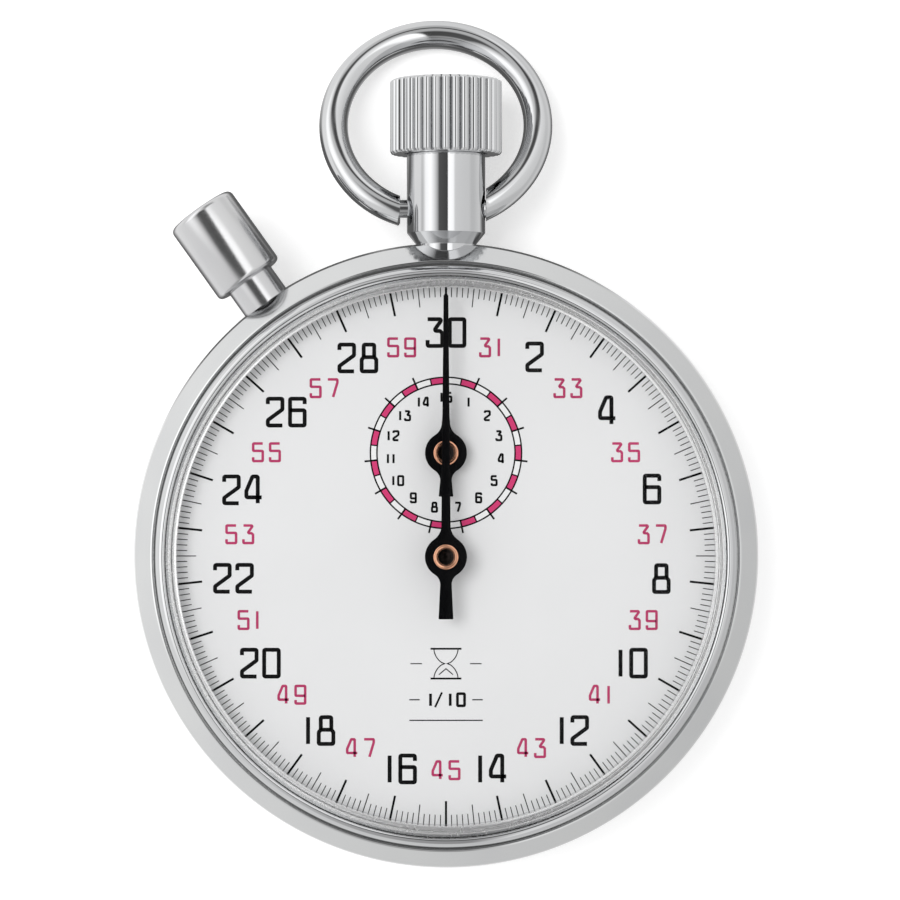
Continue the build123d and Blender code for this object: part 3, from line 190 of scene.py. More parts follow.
def prism(outlines, low, high):
    """Closed flat solids between two heights; each outline is its (points, quads that cover it)."""
    vertices = []
    faces = []
    for points, quads in outlines:
        base = len(vertices)
        count = len(points)
        vertices += [(x, y, low) for x, y in points] + [(x, y, high) for x, y in points]
        for quad in quads:
            faces.append(tuple(base + count + i for i in quad))
            faces.append(tuple(base + i for i in reversed(quad)))
        edges = dict.fromkeys((a, b) for quad in quads for a, b in zip(quad, quad[1:] + quad[:1]))
        for a, b in edges:
            if (b, a) not in edges:
                faces.append((base + a, base + b, base + count + b, base + count + a))
    return vertices, faces


def stroke(points, width, closed=False):
    """A pen stroke of even width along a path: mitred corners, flat ends."""
    path = [Vector(p) for p in points]
    count = len(path)
    left = []
    right = []
    for index, point in enumerate(path):
        before = path[index - 1] if closed or index else None
        after = path[(index + 1) % count] if closed or index < count - 1 else None
        into = (point - before).normalized() if before is not None else None
        out = (after - point).normalized() if after is not None else None
        into = into or out
        out = out or into
        tangent = (into + out).normalized()
        normal = Vector((-tangent.y, tangent.x))
        reach = width / 2 / max(0.35, normal.dot(Vector((-into.y, into.x))))
        left.append(point + normal * reach)
        right.append(point - normal * reach)
    quads = []
    for index in range(count if closed else count - 1):
        after = (index + 1) % count
        quads.append((index, count + index, count + after, after))
    return [(p.x, p.y) for p in left + right], quads


def dial_point(reach, seconds):
    """A point on the dial at a distance from its centre, at a time of the outer scale."""
    angle = math.tau * seconds / DIAL_SECONDS
    return Vector((reach * math.sin(angle), reach * math.cos(angle)))


def arc_points(centre, radius, start, end, steps):
    """Points along an arc; the angles are degrees, measured from +X."""
    return [
        (
            centre[0] + radius * math.cos(math.radians(start + (end - start) * i / steps)),
            centre[1] + radius * math.sin(math.radians(start + (end - start) * i / steps)),
        )
        for i in range(steps + 1)
    ]


# ================================================================ materials
BUMP_HEIGHT = 2e-6
METAL_TONE_SCALE = 120
PAINT_TONE_SCALE, PAINT_GRAIN_SCALE = 90, 9000
GLOSS_LEAST, GLOSS_MOST, GLOSS_FALLOFF = 0.002, 0.42, 5


def new_material(name):
    """A material with its nodes, links and main shader."""
    material = bpy.data.materials.new(name)
    material.use_nodes = True
    nodes = material.node_tree.nodes
    return material, nodes, material.node_tree.links, nodes["Principled BSDF"]


def noise(nodes, links, scale, detail=3.0, stretch=(1, 1, 1), distortion=0.0):
    """Noise on an object's own coordinates, in cells per metre, stretched along the axes."""
    place = nodes.new("ShaderNodeTexCoord")
    mapping = nodes.new("ShaderNodeMapping")
    mapping.inputs["Scale"].default_value = stretch
    texture = nodes.new("ShaderNodeTexNoise")
    texture.inputs["Scale"].default_value = scale
    texture.inputs["Detail"].default_value = detail
    texture.inputs["Distortion"].default_value = distortion
    links.new(place.outputs["Object"], mapping.inputs["Vector"])
    links.new(mapping.outputs["Vector"], texture.inputs["Vector"])
    return texture.outputs["Fac"]


def spread(nodes, links, value, low, high, start=0.3, end=0.7):
    """Map a texture's value onto a range."""
    ramp = nodes.new("ShaderNodeMapRange")
    ramp.inputs["From Min"].default_value = start
    ramp.inputs["From Max"].default_value = end
    ramp.inputs["To Min"].default_value = low
    ramp.inputs["To Max"].default_value = high
    links.new(value, ramp.inputs["Value"])
    return ramp.outputs["Result"]


def colour_mix(nodes, links, value, first, second, start=0.35, end=0.65):
    """Blend two colours by a texture's value."""
    mix = nodes.new("ShaderNodeMix")
    mix.data_type = "RGBA"
    mix.inputs["A"].default_value = (*first, 1)
    mix.inputs["B"].default_value = (*second, 1)
    links.new(spread(nodes, links, value, 0, 1, start, end), mix.inputs["Factor"])
    return mix.outputs["Result"]


def bump(nodes, links, value, shader, strength):
    """Raise a shader's surface by a texture's value."""
    relief = nodes.new("ShaderNodeBump")
    relief.inputs["Strength"].default_value = strength
    relief.inputs["Distance"].default_value = BUMP_HEIGHT
    links.new(value, relief.inputs["Height"])
    links.new(relief.outputs["Normal"], shader.inputs["Normal"])


def metal(name, base, tint, rough_low, rough_high, grain, stretch=(1, 1, 1), relief=0.05):
    """A metal with tone variation, uneven polish and fine relief."""
    material, nodes, links, shader = new_material(name)
    shader.inputs["Metallic"].default_value = 1.0
    wear = noise(nodes, links, grain, 4.0, stretch)
    broad = noise(nodes, links, METAL_TONE_SCALE, 2.0)
    links.new(colour_mix(nodes, links, broad, base, tint), shader.inputs["Base Color"])
    links.new(spread(nodes, links, wear, rough_low, rough_high), shader.inputs["Roughness"])
    bump(nodes, links, wear, shader, relief)
    return material


def lacquer(name, base, tint, rough_low, rough_high, relief=0.05, specular=0.5):
    """A painted surface with faint mottling."""
    material, nodes, links, shader = new_material(name)
    shader.inputs["Specular IOR Level"].default_value = specular
    grain = noise(nodes, links, PAINT_GRAIN_SCALE)
    broad = noise(nodes, links, PAINT_TONE_SCALE)
    links.new(colour_mix(nodes, links, broad, base, tint), shader.inputs["Base Color"])
    links.new(spread(nodes, links, grain, rough_low, rough_high), shader.inputs["Roughness"])
    bump(nodes, links, grain, shader, relief)
    return material


def acrylic(name):
    """Clear acrylic: see-through, with faint wear and a gloss that grows towards grazing angles."""
    material, nodes, links, shader = new_material(name)
    nodes.remove(shader)
    clear = nodes.new("ShaderNodeBsdfTransparent")
    clear.inputs["Color"].default_value = (0.996, 0.997, 0.997, 1)
    gloss = nodes.new("ShaderNodeBsdfGlossy")
    wear = noise(nodes, links, 1400, 5.0, (1, 1, 1), 0.6)
    links.new(spread(nodes, links, wear, 0.01, 0.06, 0.45, 0.8), gloss.inputs["Roughness"])
    facing = nodes.new("ShaderNodeLayerWeight")
    facing.inputs["Blend"].default_value = 0.5
    power = nodes.new("ShaderNodeMath")
    power.operation = "POWER"
    power.inputs[1].default_value = GLOSS_FALLOFF
    links.new(facing.outputs["Facing"], power.inputs[0])
    mix = nodes.new("ShaderNodeMixShader")
    amount = spread(nodes, links, power.outputs[0], GLOSS_LEAST, GLOSS_MOST, 0, 1)
    links.new(amount, mix.inputs["Fac"])
    links.new(clear.outputs["BSDF"], mix.inputs[1])
    links.new(gloss.outputs["BSDF"], mix.inputs[2])
    links.new(mix.outputs["Shader"], nodes["Material Output"].inputs["Surface"])
    return material


def ruby(name):
    """Synthetic ruby: deep pink, glossy, slightly uneven."""
    material, nodes, links, shader = new_material(name)
    cloud = noise(nodes, links, 2500)
    pink = colour_mix(nodes, links, cloud, (0.62, 0.02, 0.10), (0.48, 0.01, 0.07))
    links.new(pink, shader.inputs["Base Color"])
    shader.inputs["Roughness"].default_value = 0.08
    shader.inputs["Coat Weight"].default_value = 0.6
    return material


# Each look lists its two tones, its least and greatest roughness and, for a metal, its grain.
BRUSHED, BRUSHED_FINE = (1, 9, 1), (1, 14, 1)
CHROME = metal("case_chrome", (0.62, 0.625, 0.63), (0.585, 0.59, 0.60), 0.03, 0.075, 2600, relief=0.02)
BAND_CHROME = metal("band_chrome", (0.66, 0.665, 0.665), (0.63, 0.635, 0.64), 0.06, 0.12, 9000, relief=0.16)
BACK_CHROME = metal(
    "back_chrome", (0.64, 0.645, 0.65), (0.60, 0.605, 0.615), 0.10, 0.22, 700, BRUSHED_FINE, 0.06
)
SATIN = metal("button_satin", (0.62, 0.62, 0.625), (0.58, 0.58, 0.59), 0.13, 0.21, 9000, relief=0.12)
NICKEL = metal("plate_nickel", (0.78, 0.76, 0.71), (0.72, 0.70, 0.66), 0.18, 0.34, 500, BRUSHED, 0.08)
BRASS = metal("ring_brass", (0.80, 0.62, 0.32), (0.72, 0.54, 0.26), 0.20, 0.34, 2400, relief=0.08)
GILT = metal("wheel_gilt", (0.86, 0.66, 0.33), (0.80, 0.60, 0.28), 0.14, 0.26, 3600, relief=0.05)
BALANCE = metal("balance_brass", (0.86, 0.72, 0.44), (0.80, 0.66, 0.38), 0.10, 0.20, 2600, relief=0.04)
STEEL = metal("polished_steel", (0.62, 0.63, 0.65), (0.55, 0.56, 0.58), 0.12, 0.24, 3000, relief=0.05)
SPRING = metal("spring_steel", (0.50, 0.52, 0.56), (0.42, 0.44, 0.49), 0.18, 0.30, 3000, relief=0.05)
BLUED = metal("blued_steel", (0.10, 0.16, 0.42), (0.14, 0.12, 0.36), 0.14, 0.26, 2600, relief=0.04)
COPPER = metal("copper", (0.80, 0.42, 0.27), (0.66, 0.30, 0.18), 0.12, 0.26, 5000, relief=0.08)
SEAT_SILVER = metal("seat_silver", (0.84, 0.84, 0.84), (0.81, 0.81, 0.815), 0.20, 0.28, 4000, relief=0.008)
# The arbor's end is real steel, but its near-black colour is painted shade of the deep recess in each collet.
PIN_SHADE_BLACK = metal("pin_shade_black", (0.014, 0.011, 0.010), (0.010, 0.008, 0.008), 0.14, 0.22, 5000, relief=0.02)
HAND_BLACK = lacquer("hand_black", (0.002, 0.002, 0.0025), (0.004, 0.004, 0.0045), 0.30, 0.42, specular=0.04)
DIAL_WHITE = lacquer(
    "dial_white", (0.80, 0.80, 0.805), (0.785, 0.785, 0.79), 0.55, 0.68, relief=0.03, specular=0.2
)
COUNTER_WHITE = lacquer("counter_white", (0.86, 0.86, 0.86), (0.84, 0.84, 0.84), 0.5, 0.6, specular=0.2)
INK_BLACK = lacquer("ink_black", (0.003, 0.003, 0.004), (0.006, 0.006, 0.006), 0.5, 0.65, specular=0.08)
INK_GREY = lacquer("ink_grey", (0.012, 0.012, 0.013), (0.022, 0.022, 0.022), 0.5, 0.65, specular=0.08)
INK_PINK = lacquer("ink_pink", (0.50, 0.035, 0.135), (0.43, 0.028, 0.115), 0.45, 0.6)
INK_BRIGHT_PINK = lacquer("ink_bright_pink", (0.66, 0.035, 0.17), (0.60, 0.03, 0.15), 0.45, 0.6)
RUBY = ruby("ruby")
ACRYLIC = acrylic("crystal_acrylic")

# The look of each material slot, for the CAD nodes that stay as they are.
SLOT_LOOKS = {
    "plate_nickel": NICKEL,
    "ring_brass": BRASS,
    "wheel_brass": GILT,
    "balance_brass": BALANCE,
    "steel": STEEL,
    "spring_steel": SPRING,
    "blued_screws": BLUED,
    "ruby": RUBY,
    "case_chrome": CHROME,
    "case_back_chrome": BACK_CHROME,
    "button_satin": SATIN,
    "crystal_acrylic": ACRYLIC,
    "dial_enamel": DIAL_WHITE,
    "hand_black": HAND_BLACK,
    "copper": COPPER,
}
for subpart in frame["record"]["subparts"]:
    node = frame["nodes"][subpart["node"]]
    node.data.materials.clear()
    node.data.materials.append(SLOT_LOOKS[subpart["material_slot"]])


# ================================================================ camera, floor and light
# The camera looks straight down on the dial from about 290 mm above the case's middle.
camera_data = bpy.data.cameras.new("camera")
camera_data.lens = 131.7
camera_data.sensor_width = 36
camera_data.clip_start = 0.01
camera = bpy.data.objects.new("camera", camera_data)
camera.location = (0.00035, 0.00925, 0.298)
bpy.context.collection.objects.link(camera)
bpy.context.scene.camera = camera
bpy.context.scene.view_settings.view_transform = "Standard"

FLOOR_HALF = 1.5
floor_mesh = bpy.data.meshes.new("floor")
floor_mesh.from_pydata(
    [(x * FLOOR_HALF, y * FLOOR_HALF, 0) for x, y in ((-1, -1), (1, -1), (1, 1), (-1, 1))],
    [],
    [(0, 1, 2, 3)],
)
floor = bpy.data.objects.new("floor", floor_mesh)
bpy.context.collection.objects.link(floor)
floor_look, floor_nodes, floor_links, floor_shader = new_material("floor_white")
floor_shader.inputs["Base Color"].default_value = (0.90, 0.90, 0.90, 1)
floor_shader.inputs["Roughness"].default_value = 0.9
floor_shader.inputs["Specular IOR Level"].default_value = 0.1
floor_shader.inputs["Emission Color"].default_value = (1, 1, 1, 1)
floor_shader.inputs["Emission Strength"].default_value = 0.42

# In mirrors the floor is a painted glow. Painted shadows of the case make it dim near two spots beside the pendant
# and the button, and painted light from the upper left makes it brighter to the left.
FLOOR_SHADOW_LEVEL, FLOOR_BRIGHT, FLOOR_FADE = 0.12, 0.86, 0.009
PAINTED_LIGHT_LEAST, PAINTED_LIGHT_MOST, PAINTED_LIGHT_DIRECTION = 0.86, 1.28, (-0.866, 0.5, 0)
floor_painted_glow = floor_nodes.new("ShaderNodeEmission")
floor_place = floor_nodes.new("ShaderNodeTexCoord")
floor_shadow_levels = []
for spot, reach in (((0.004, 0.034, 0), 0.009), ((-0.018, 0.028, 0), 0.010)):
    away = floor_nodes.new("ShaderNodeVectorMath")
    away.operation = "DISTANCE"
    away.inputs[1].default_value = spot
    floor_links.new(floor_place.outputs["Object"], away.inputs[0])
    distance = away.outputs["Value"]
    level = spread(floor_nodes, floor_links, distance, FLOOR_SHADOW_LEVEL, FLOOR_BRIGHT, reach, reach + FLOOR_FADE)
    floor_shadow_levels.append(level)
floor_painted_shadow = floor_nodes.new("ShaderNodeMath")
floor_painted_shadow.operation = "MINIMUM"
floor_links.new(floor_shadow_levels[0], floor_painted_shadow.inputs[0])
floor_links.new(floor_shadow_levels[1], floor_painted_shadow.inputs[1])
floor_side = floor_nodes.new("ShaderNodeVectorMath")
floor_side.operation = "NORMALIZE"
floor_links.new(floor_place.outputs["Object"], floor_side.inputs[0])
floor_painted_light = floor_nodes.new("ShaderNodeVectorMath")
floor_painted_light.operation = "DOT_PRODUCT"
floor_painted_light.inputs[1].default_value = PAINTED_LIGHT_DIRECTION
floor_links.new(floor_side.outputs["Vector"], floor_painted_light.inputs[0])
floor_level = floor_nodes.new("ShaderNodeMath")
floor_level.operation = "MULTIPLY"
floor_links.new(floor_painted_shadow.outputs[0], floor_level.inputs[0])
floor_links.new(
    spread(floor_nodes, floor_links, floor_painted_light.outputs["Value"], PAINTED_LIGHT_LEAST, PAINTED_LIGHT_MOST, -1, 1),
    floor_level.inputs[1],
)
floor_links.new(floor_level.outputs[0], floor_painted_glow.inputs["Strength"])
# Only glossy rays see the painted glow with its painted shadows and painted light; the camera and matt surfaces
# see the plain floor.
floor_path = floor_nodes.new("ShaderNodeLightPath")
floor_mix = floor_nodes.new("ShaderNodeMixShader")
floor_links.new(floor_path.outputs["Is Glossy Ray"], floor_mix.inputs["Fac"])
floor_links.new(floor_shader.outputs["BSDF"], floor_mix.inputs[1])
floor_links.new(floor_painted_glow.outputs["Emission"], floor_mix.inputs[2])
floor_links.new(floor_mix.outputs["Shader"], floor_nodes["Material Output"].inputs["Surface"])
floor_mesh.materials.append(floor_look)


def softbox(name, location, target, width, height, power):
    """A rectangular lamp that faces a point."""
    data = bpy.data.lights.new(name, "AREA")
    data.shape = "RECTANGLE"
    data.size = width
    data.size_y = height
    data.energy = power
    lamp = bpy.data.objects.new(name, data)
    lamp.location = location
    lamp.rotation_euler = (Vector(target) - Vector(location)).to_track_quat("-Z", "Y").to_euler()
    bpy.context.collection.objects.link(lamp)
    return lamp


key = softbox("key", (-0.16, 0.07, 0.42), (0, 0.01, 0.01), 0.22, 0.22, 0.80)
key.visible_glossy = False

# Three kinds of ray see the studio differently: mirrors see its lamps and flags, matt surfaces an
# even light, and the camera a plain pale wall.
world = bpy.data.worlds.new("studio")
world.use_nodes = True
bpy.context.scene.world = world
sky = world.node_tree.nodes
sky_links = world.node_tree.links
sky_place = sky.new("ShaderNodeTexCoord")
sky_split = sky.new("ShaderNodeSeparateXYZ")
sky_links.new(sky_place.outputs["Generated"], sky_split.inputs["Vector"])


def brightness_across(levels):
    """Brightness from the left wall (-1) over the ceiling to the right wall (1)."""
    ramp = sky.new("ShaderNodeValToRGB")
    for _ in levels[2:]:
        ramp.color_ramp.elements.new(0.5)
    for element, (place, level) in zip(ramp.color_ramp.elements, levels):
        element.position = (place + 1) / 2
        element.color = (level, level, level, 1)
    sky_links.new(spread(sky, sky_links, sky_split.outputs["X"], 0, 1, -1, 1), ramp.inputs["Fac"])
    return ramp.outputs["Color"]


def sky_math(operation, first, second):
    """One step of arithmetic on sky values."""
    node = sky.new("ShaderNodeMath")
    node.operation = operation
    for socket, value in zip(node.inputs, (first, second)):
        if isinstance(value, (int, float)):
            socket.default_value = value
        else:
            sky_links.new(value, socket)
    return node.outputs[0]


def within(axis, low, high, soft):
    """1 where a direction's component lies between two limits, with soft edges."""
    rise = spread(sky, sky_links, sky_split.outputs[axis], 0, 1, low - soft, low + soft)
    fall = spread(sky, sky_links, sky_split.outputs[axis], 1, 0, high - soft, high + soft)
    return sky_math("MULTIPLY", rise, fall)


def sky_blend(base, other, amount):
    """Blend two sky brightnesses."""
    mix = sky.new("ShaderNodeMix")
    mix.data_type = "RGBA"
    for socket, value in ((mix.inputs["A"], base), (mix.inputs["B"], other)):
        if isinstance(value, (int, float)):
            socket.default_value = (value, value, value, 1)
        else:
            sky_links.new(value, socket)
    sky_links.new(amount, mix.inputs["Factor"])
    return mix.outputs["Result"]


# (place across the room from -1 to 1, brightness) for directions towards the case, above it and behind
# the crown.
TOWARDS_CASE = [
    (-1.00, 0.60),
    (-0.88, 1.02),
    (-0.50, 0.90),
    (-0.24, 0.55),
    (0.06, 0.40),
    (0.20, 1.10),
    (0.40, 0.95),
    (0.60, 0.78),
    (0.90, 0.74),
]
OVERHEAD = [
    (-0.99, 0.30),
    (-0.95, 0.80),
    (-0.88, 1.55),
    (-0.72, 1.75),
    (-0.55, 1.15),
    (-0.42, 0.62),
    (-0.34, 0.13),
    (0.08, 0.09),
    (0.12, 1.75),
    (0.36, 1.60),
    (0.46, 1.00),
    (0.97, 0.90),
]
BEHIND_CROWN = [
    (-1.00, 0.55),
    (-0.92, 0.80),
    (-0.78, 1.60),
    (-0.62, 1.55),
    (-0.38, 0.85),
    (0.05, 0.62),
    (0.16, 1.20),
    (0.40, 1.10),
    (0.78, 0.95),
    (1.00, 0.60),
]
studio = sky_blend(
    brightness_across(TOWARDS_CASE),
    brightness_across(OVERHEAD),
    spread(sky, sky_links, sky_split.outputs["Y"], 0, 1, -0.36, -0.16),
)
studio = sky_blend(
    studio,
    brightness_across(BEHIND_CROWN),
    spread(sky, sky_links, sky_split.outputs["Y"], 0, 1, 0.34, 0.52),
)
# A dark flag behind the crown, then the walls: even, and brightest at the upper left.
FLAG_LEVEL = 0.10
WALL_LEVEL, WALL_PER_X, WALL_PER_Y = 0.93, -0.165, 0.095
flag = sky_math("MULTIPLY", within("X", -0.32, 0.32, 0.08), within("Y", 0.74, 0.84, 0.025))
studio = sky_blend(studio, FLAG_LEVEL, sky_math("MULTIPLY", flag, within("Z", 0.3, 1.2, 0.05)))
lean_x = sky_math("MULTIPLY", sky_split.outputs["X"], WALL_PER_X)
lean_y = sky_math("MULTIPLY", sky_split.outputs["Y"], WALL_PER_Y)
walls = sky_math("ADD", sky_math("ADD", lean_x, lean_y), WALL_LEVEL)
studio = sky_blend(studio, walls, within("Z", -1.2, 0.24, 0.08))
sky_path = sky.new("ShaderNodeLightPath")
MATT_LEVEL, CAMERA_LEVEL = 0.69, 0.98
seen = sky_blend(MATT_LEVEL, studio, sky_path.outputs["Is Glossy Ray"])
seen = sky_blend(seen, CAMERA_LEVEL, sky_path.outputs["Is Camera Ray"])
sky_links.new(seen, sky["Background"].inputs["Color"])
sky["Background"].inputs["Strength"].default_value = 1.0


# ================================================================ case
# The corners of an outline are (radius, height, corner radius).
band_outline = rounded(
    [
        (BACK_RIM_R, CASE_LOW[2]),
        (26.7, 4.3, 1.2),
        (27.25, 5.6, 3.0),
        (CASE_R, 7.4, 4.0),
        (27.42, 8.9, 1.5),
        (27.2, 9.95, 0.12),
        (25.75, CASE_TOP - 0.06, 0.1),
        (25.62, CASE_TOP, 0.06),
        (BAND_MOUTH_R, CASE_TOP, 0.06),
        (BAND_MOUTH_R, BEZEL_SEAT),
        (BAND_BORE_R, BEZEL_SEAT),
        (BAND_BORE_R, CASE_LOW[2]),
    ]
)
piece_from("case_band", *lathe(band_outline, steps=360), "case", "case_chrome", BAND_CHROME, ["middle_case"])

back_outline = rounded(
    [
        (0, 0),
        (21.0, 0, 2.5),
        (22.6, 0.25, 2.5),
        (24.2, 1.1, 2.0),
        (25.0, 2.1, 1.5),
        (BACK_RIM_R, BACK_STEP, 0.15),
        (BAND_BORE_R, BACK_STEP),
        (BAND_BORE_R, BACK_TOP, 0.1),
        (BACK_BORE_R, BACK_TOP, 0.1),
        (BACK_BORE_R, 2.3, 0.8),
        (22.2, 1.1, 1.2),
        (20.6, BACK_WALL, 1.0),
        (0, BACK_WALL),
    ],
    closed=False,
)
piece_from(
    "case_back_cap",
    *lathe(back_outline, steps=300, closed=False),
    "case",
    "case_back_chrome",
    BACK_CHROME,
    ["case_back"],
)

bezel_outline = rounded(
    [
        (DIAL_VISIBLE_R, DIAL_TOP),
        (BEZEL_NECK_R, DIAL_TOP),
        (BEZEL_NECK_R, BEZEL_SEAT),
        (BEZEL_R, BEZEL_SEAT, 0.05),
        (BEZEL_R, 12.35, 0.5),
        (BEZEL_R - 0.12, 12.85, 0.5),
        (BEZEL_R - 0.4, 13.2, 0.4),
        (CRYSTAL_R + 0.2, BEZEL_TOP, 0.2),
        (CRYSTAL_R, BEZEL_TOP - 0.1, 0.06),
        (CRYSTAL_R, CRYSTAL_SEAT),
        (DIAL_VISIBLE_R + 0.15, CRYSTAL_SEAT, 0.06),
    ]
)
piece_from("bezel_ring", *lathe(bezel_outline, steps=360), "case", "case_chrome", CHROME, ["bezel"])


def dome_points(edge_r, edge_z, top_z, steps=24):
    """Points of a shallow dome from its edge to its top."""
    rise = top_z - edge_z
    radius = (edge_r**2 + rise**2) / (2 * rise)
    reaches = [edge_r * (1 - i / steps) for i in range(steps + 1)]
    return [(reach, top_z - radius + math.sqrt(radius**2 - reach**2)) for reach in reaches]


outer_wall = [
    (CRYSTAL_R - CRYSTAL_LIP, CRYSTAL_SEAT),
    (CRYSTAL_R, CRYSTAL_SEAT),
    (CRYSTAL_R, CRYSTAL_WALL_TOP),
]
shoulder = [
    (
        CRYSTAL_R - CRYSTAL_SHOULDER * (1 - math.cos(math.radians(angle))),
        CRYSTAL_WALL_TOP + CRYSTAL_SHOULDER_RISE * math.sin(math.radians(angle)),
    )
    for angle in range(12, 84, 12)
]
outer_dome = dome_points(
    CRYSTAL_R - CRYSTAL_SHOULDER, CRYSTAL_WALL_TOP + CRYSTAL_SHOULDER_RISE, CRYSTAL_TOP
)
inner_dome = dome_points(CRYSTAL_R - 2 * CRYSTAL_SHOULDER, CRYSTAL_WALL_TOP - 0.2, CRYSTAL_TOP - 1.1)
inner_wall = [
    (CRYSTAL_R - CRYSTAL_SHOULDER, 13.55),
    (CRYSTAL_R - 0.25, 13.35),
    (CRYSTAL_R - CRYSTAL_LIP, 13.0),
]
piece_from(
    "crystal_dome",
    *lathe(outer_wall + shoulder + outer_dome + inner_dome[::-1] + inner_wall, steps=300),
    "case",
    "crystal_acrylic",
    ACRYLIC,
    ["crystal"],
)

# A grooved ring inside the crystal's wall keeps it tight in the bezel.
seat_outline = rounded(
    [
        (SEAT_RING_IN, CRYSTAL_SEAT),
        (SEAT_RING_IN, 12.7, 0.03),
        (23.40, 12.76, 0.03),
        (23.64, 12.64, 0.03),
        (23.74, 12.40, 0.03),
        (23.90, 12.40, 0.03),
        (23.97, 12.88, 0.03),
        (24.01, 12.93, 0.03),
        (SEAT_RING_OUT, 12.80, 0.02),
        (SEAT_RING_OUT, CRYSTAL_SEAT),
    ]
)
piece_from("crystal_seat_ring", *lathe(seat_outline, steps=360), "case", "case_chrome", SEAT_SILVER)

# ================================================================ pendant, crown and bow
ALONG_Y = placed_on((0, 0, AXIS_Z), (0, 1, 0))
pendant_outline = rounded(
    [
        (PENDANT_BORE_R, PENDANT_START),
        (PENDANT_SPIGOT_R, PENDANT_START),
        (PENDANT_SPIGOT_R, PENDANT_COLLAR),
        (PENDANT_NECK_R, PENDANT_COLLAR),
        (PENDANT_NECK_R, PENDANT_NECK, 0.2),
        (PENDANT_R, PENDANT_SHOULDER, 0.12),
        (PENDANT_R, PENDANT_TOP, 0.25),
        (PENDANT_BORE_R, PENDANT_TOP, 0.1),
    ]
)
piece_from(
    "pendant_sleeve",
    *lathe(pendant_outline, ALONG_Y, 192),
    "case",
    "case_chrome",
    CHROME,
    ["pendant_tube"],
)



def flute(radius, height, angle):
    """Radius of the crown's wall at an angle: rounded ribs with sharp grooves between them."""
    if radius < CROWN_R - CROWN_FLUTED_RIM:
        return radius
    groove = 1 - abs(math.sin(CROWN_FLUTES * angle / 2)) ** FLUTE_SHARPNESS
    return radius - FLUTE_DEPTH * groove


crown_outline = rounded(
    [
        (0, CROWN_BASE + CROWN_SKIRT),
        (PENDANT_R + SLIDING_GAP, CROWN_BASE + CROWN_SKIRT, 0.1),
        (PENDANT_R + SLIDING_GAP, CROWN_BASE, 0.1),
        (CROWN_R - CROWN_FLUTED_RIM, CROWN_BASE, 0.1),
        (CROWN_R - 0.14, CROWN_BASE, 0.1),
        (CROWN_R, CROWN_BASE + 0.2, 0.15),
        (CROWN_R, CROWN_BASE + 0.6),
        (CROWN_R, CROWN_TOP - 0.6),
        (CROWN_R, CROWN_TOP - 0.25, 0.2),
        (CROWN_R - 0.35, CROWN_TOP - 0.08, 0.2),
        (CROWN_R - 0.7, CROWN_TOP - 0.05, 0.2),
        (0, CROWN_TOP),
    ],
    closed=False,
)
piece_from(
    "crown_knob",
    *lathe(crown_outline, ALONG_Y, CROWN_FLUTES * 16, closed=False, ripple=flute),
    "crown",
    "case_chrome",
    CHROME,
    ["crown"],
    sharp=50,
)

# The bow droops until its far end lies on the surface that the case lies on.
BOW_DROP = math.asin((AXIS_Z - BOW_WIRE_R) / (BOW_RING_REACH + BOW_RING_R))
BOW_OUT = Vector((0, math.cos(BOW_DROP), -math.sin(BOW_DROP)))
BOW_UP = Vector((0, math.sin(BOW_DROP), math.cos(BOW_DROP)))


def bow_point(across, out, up=0.0):
    """A point of the bow from its own plane: along the pivot line, away from it, and above it."""
    return BOW_PIVOT + Vector((across, 0, 0)) + BOW_OUT * out + BOW_UP * up


def bow_mesh():
    """The ring of wire, cut square to the pivot line at both ends, and its two pins."""
    rings, sides = 220, 40
    loops = []
    for ring in range(rings + 1):
        angle = BOW_ARC_START + (BOW_ARC_END - BOW_ARC_START) * ring / rings
        across = BOW_RING_OFFSET + BOW_RING_R * math.cos(angle)
        out = BOW_RING_REACH + BOW_RING_R * math.sin(angle)
        loop = []
        for side in range(sides):
            turn = math.tau * side / sides
            reach = BOW_WIRE_R * math.cos(turn)
            height = BOW_WIRE_R * math.sin(turn)
            loop.append((across + reach * math.cos(angle), out + reach * math.sin(angle), height))
        if out < BOW_CUT_REACH and math.cos(angle) < 0:
            loop = [(min(x, BOW_LEFT_END), y, z) for x, y, z in loop]
        if out < BOW_CUT_REACH and math.cos(angle) > 0:
            loop = [(max(x, BOW_RIGHT_END), y, z) for x, y, z in loop]
        if not all(x in (BOW_LEFT_END, BOW_RIGHT_END) for x, _, _ in loop):
            loops.append(loop)
    vertices = [bow_point(*point) for loop in loops for point in loop]
    faces = []
    for ring in range(len(loops) - 1):
        here = ring * sides
        there = here + sides
        for side in range(sides):
            after = (side + 1) % sides
            faces.append((here + side, here + after, there + after, there + side))
    faces.append(tuple(range(sides)))
    faces.append(tuple((len(loops) - 1) * sides + side for side in reversed(range(sides))))
    pins = [(BOW_LEFT_END - BOW_PIN_BURIED, -BOW_PIN_INNER), (BOW_PIN_INNER, BOW_RIGHT_END + BOW_PIN_BURIED)]
    for near, far in pins:
        pin, pin_faces = lathe(
            rounded([(0, near), (BOW_PIN_R, near), (BOW_PIN_R, far, 0.1), (0, far)], closed=False),
            placed_on(BOW_PIVOT, (1, 0, 0)),
            64,
            closed=False,
        )
        base = len(vertices)
        vertices += pin
        faces += [tuple(base + i for i in face) for face in pin_faces]
    return vertices, faces


piece_from("bow_ring", *bow_mesh(), "bow", "case_chrome", CHROME, ["bow"], sharp=40)

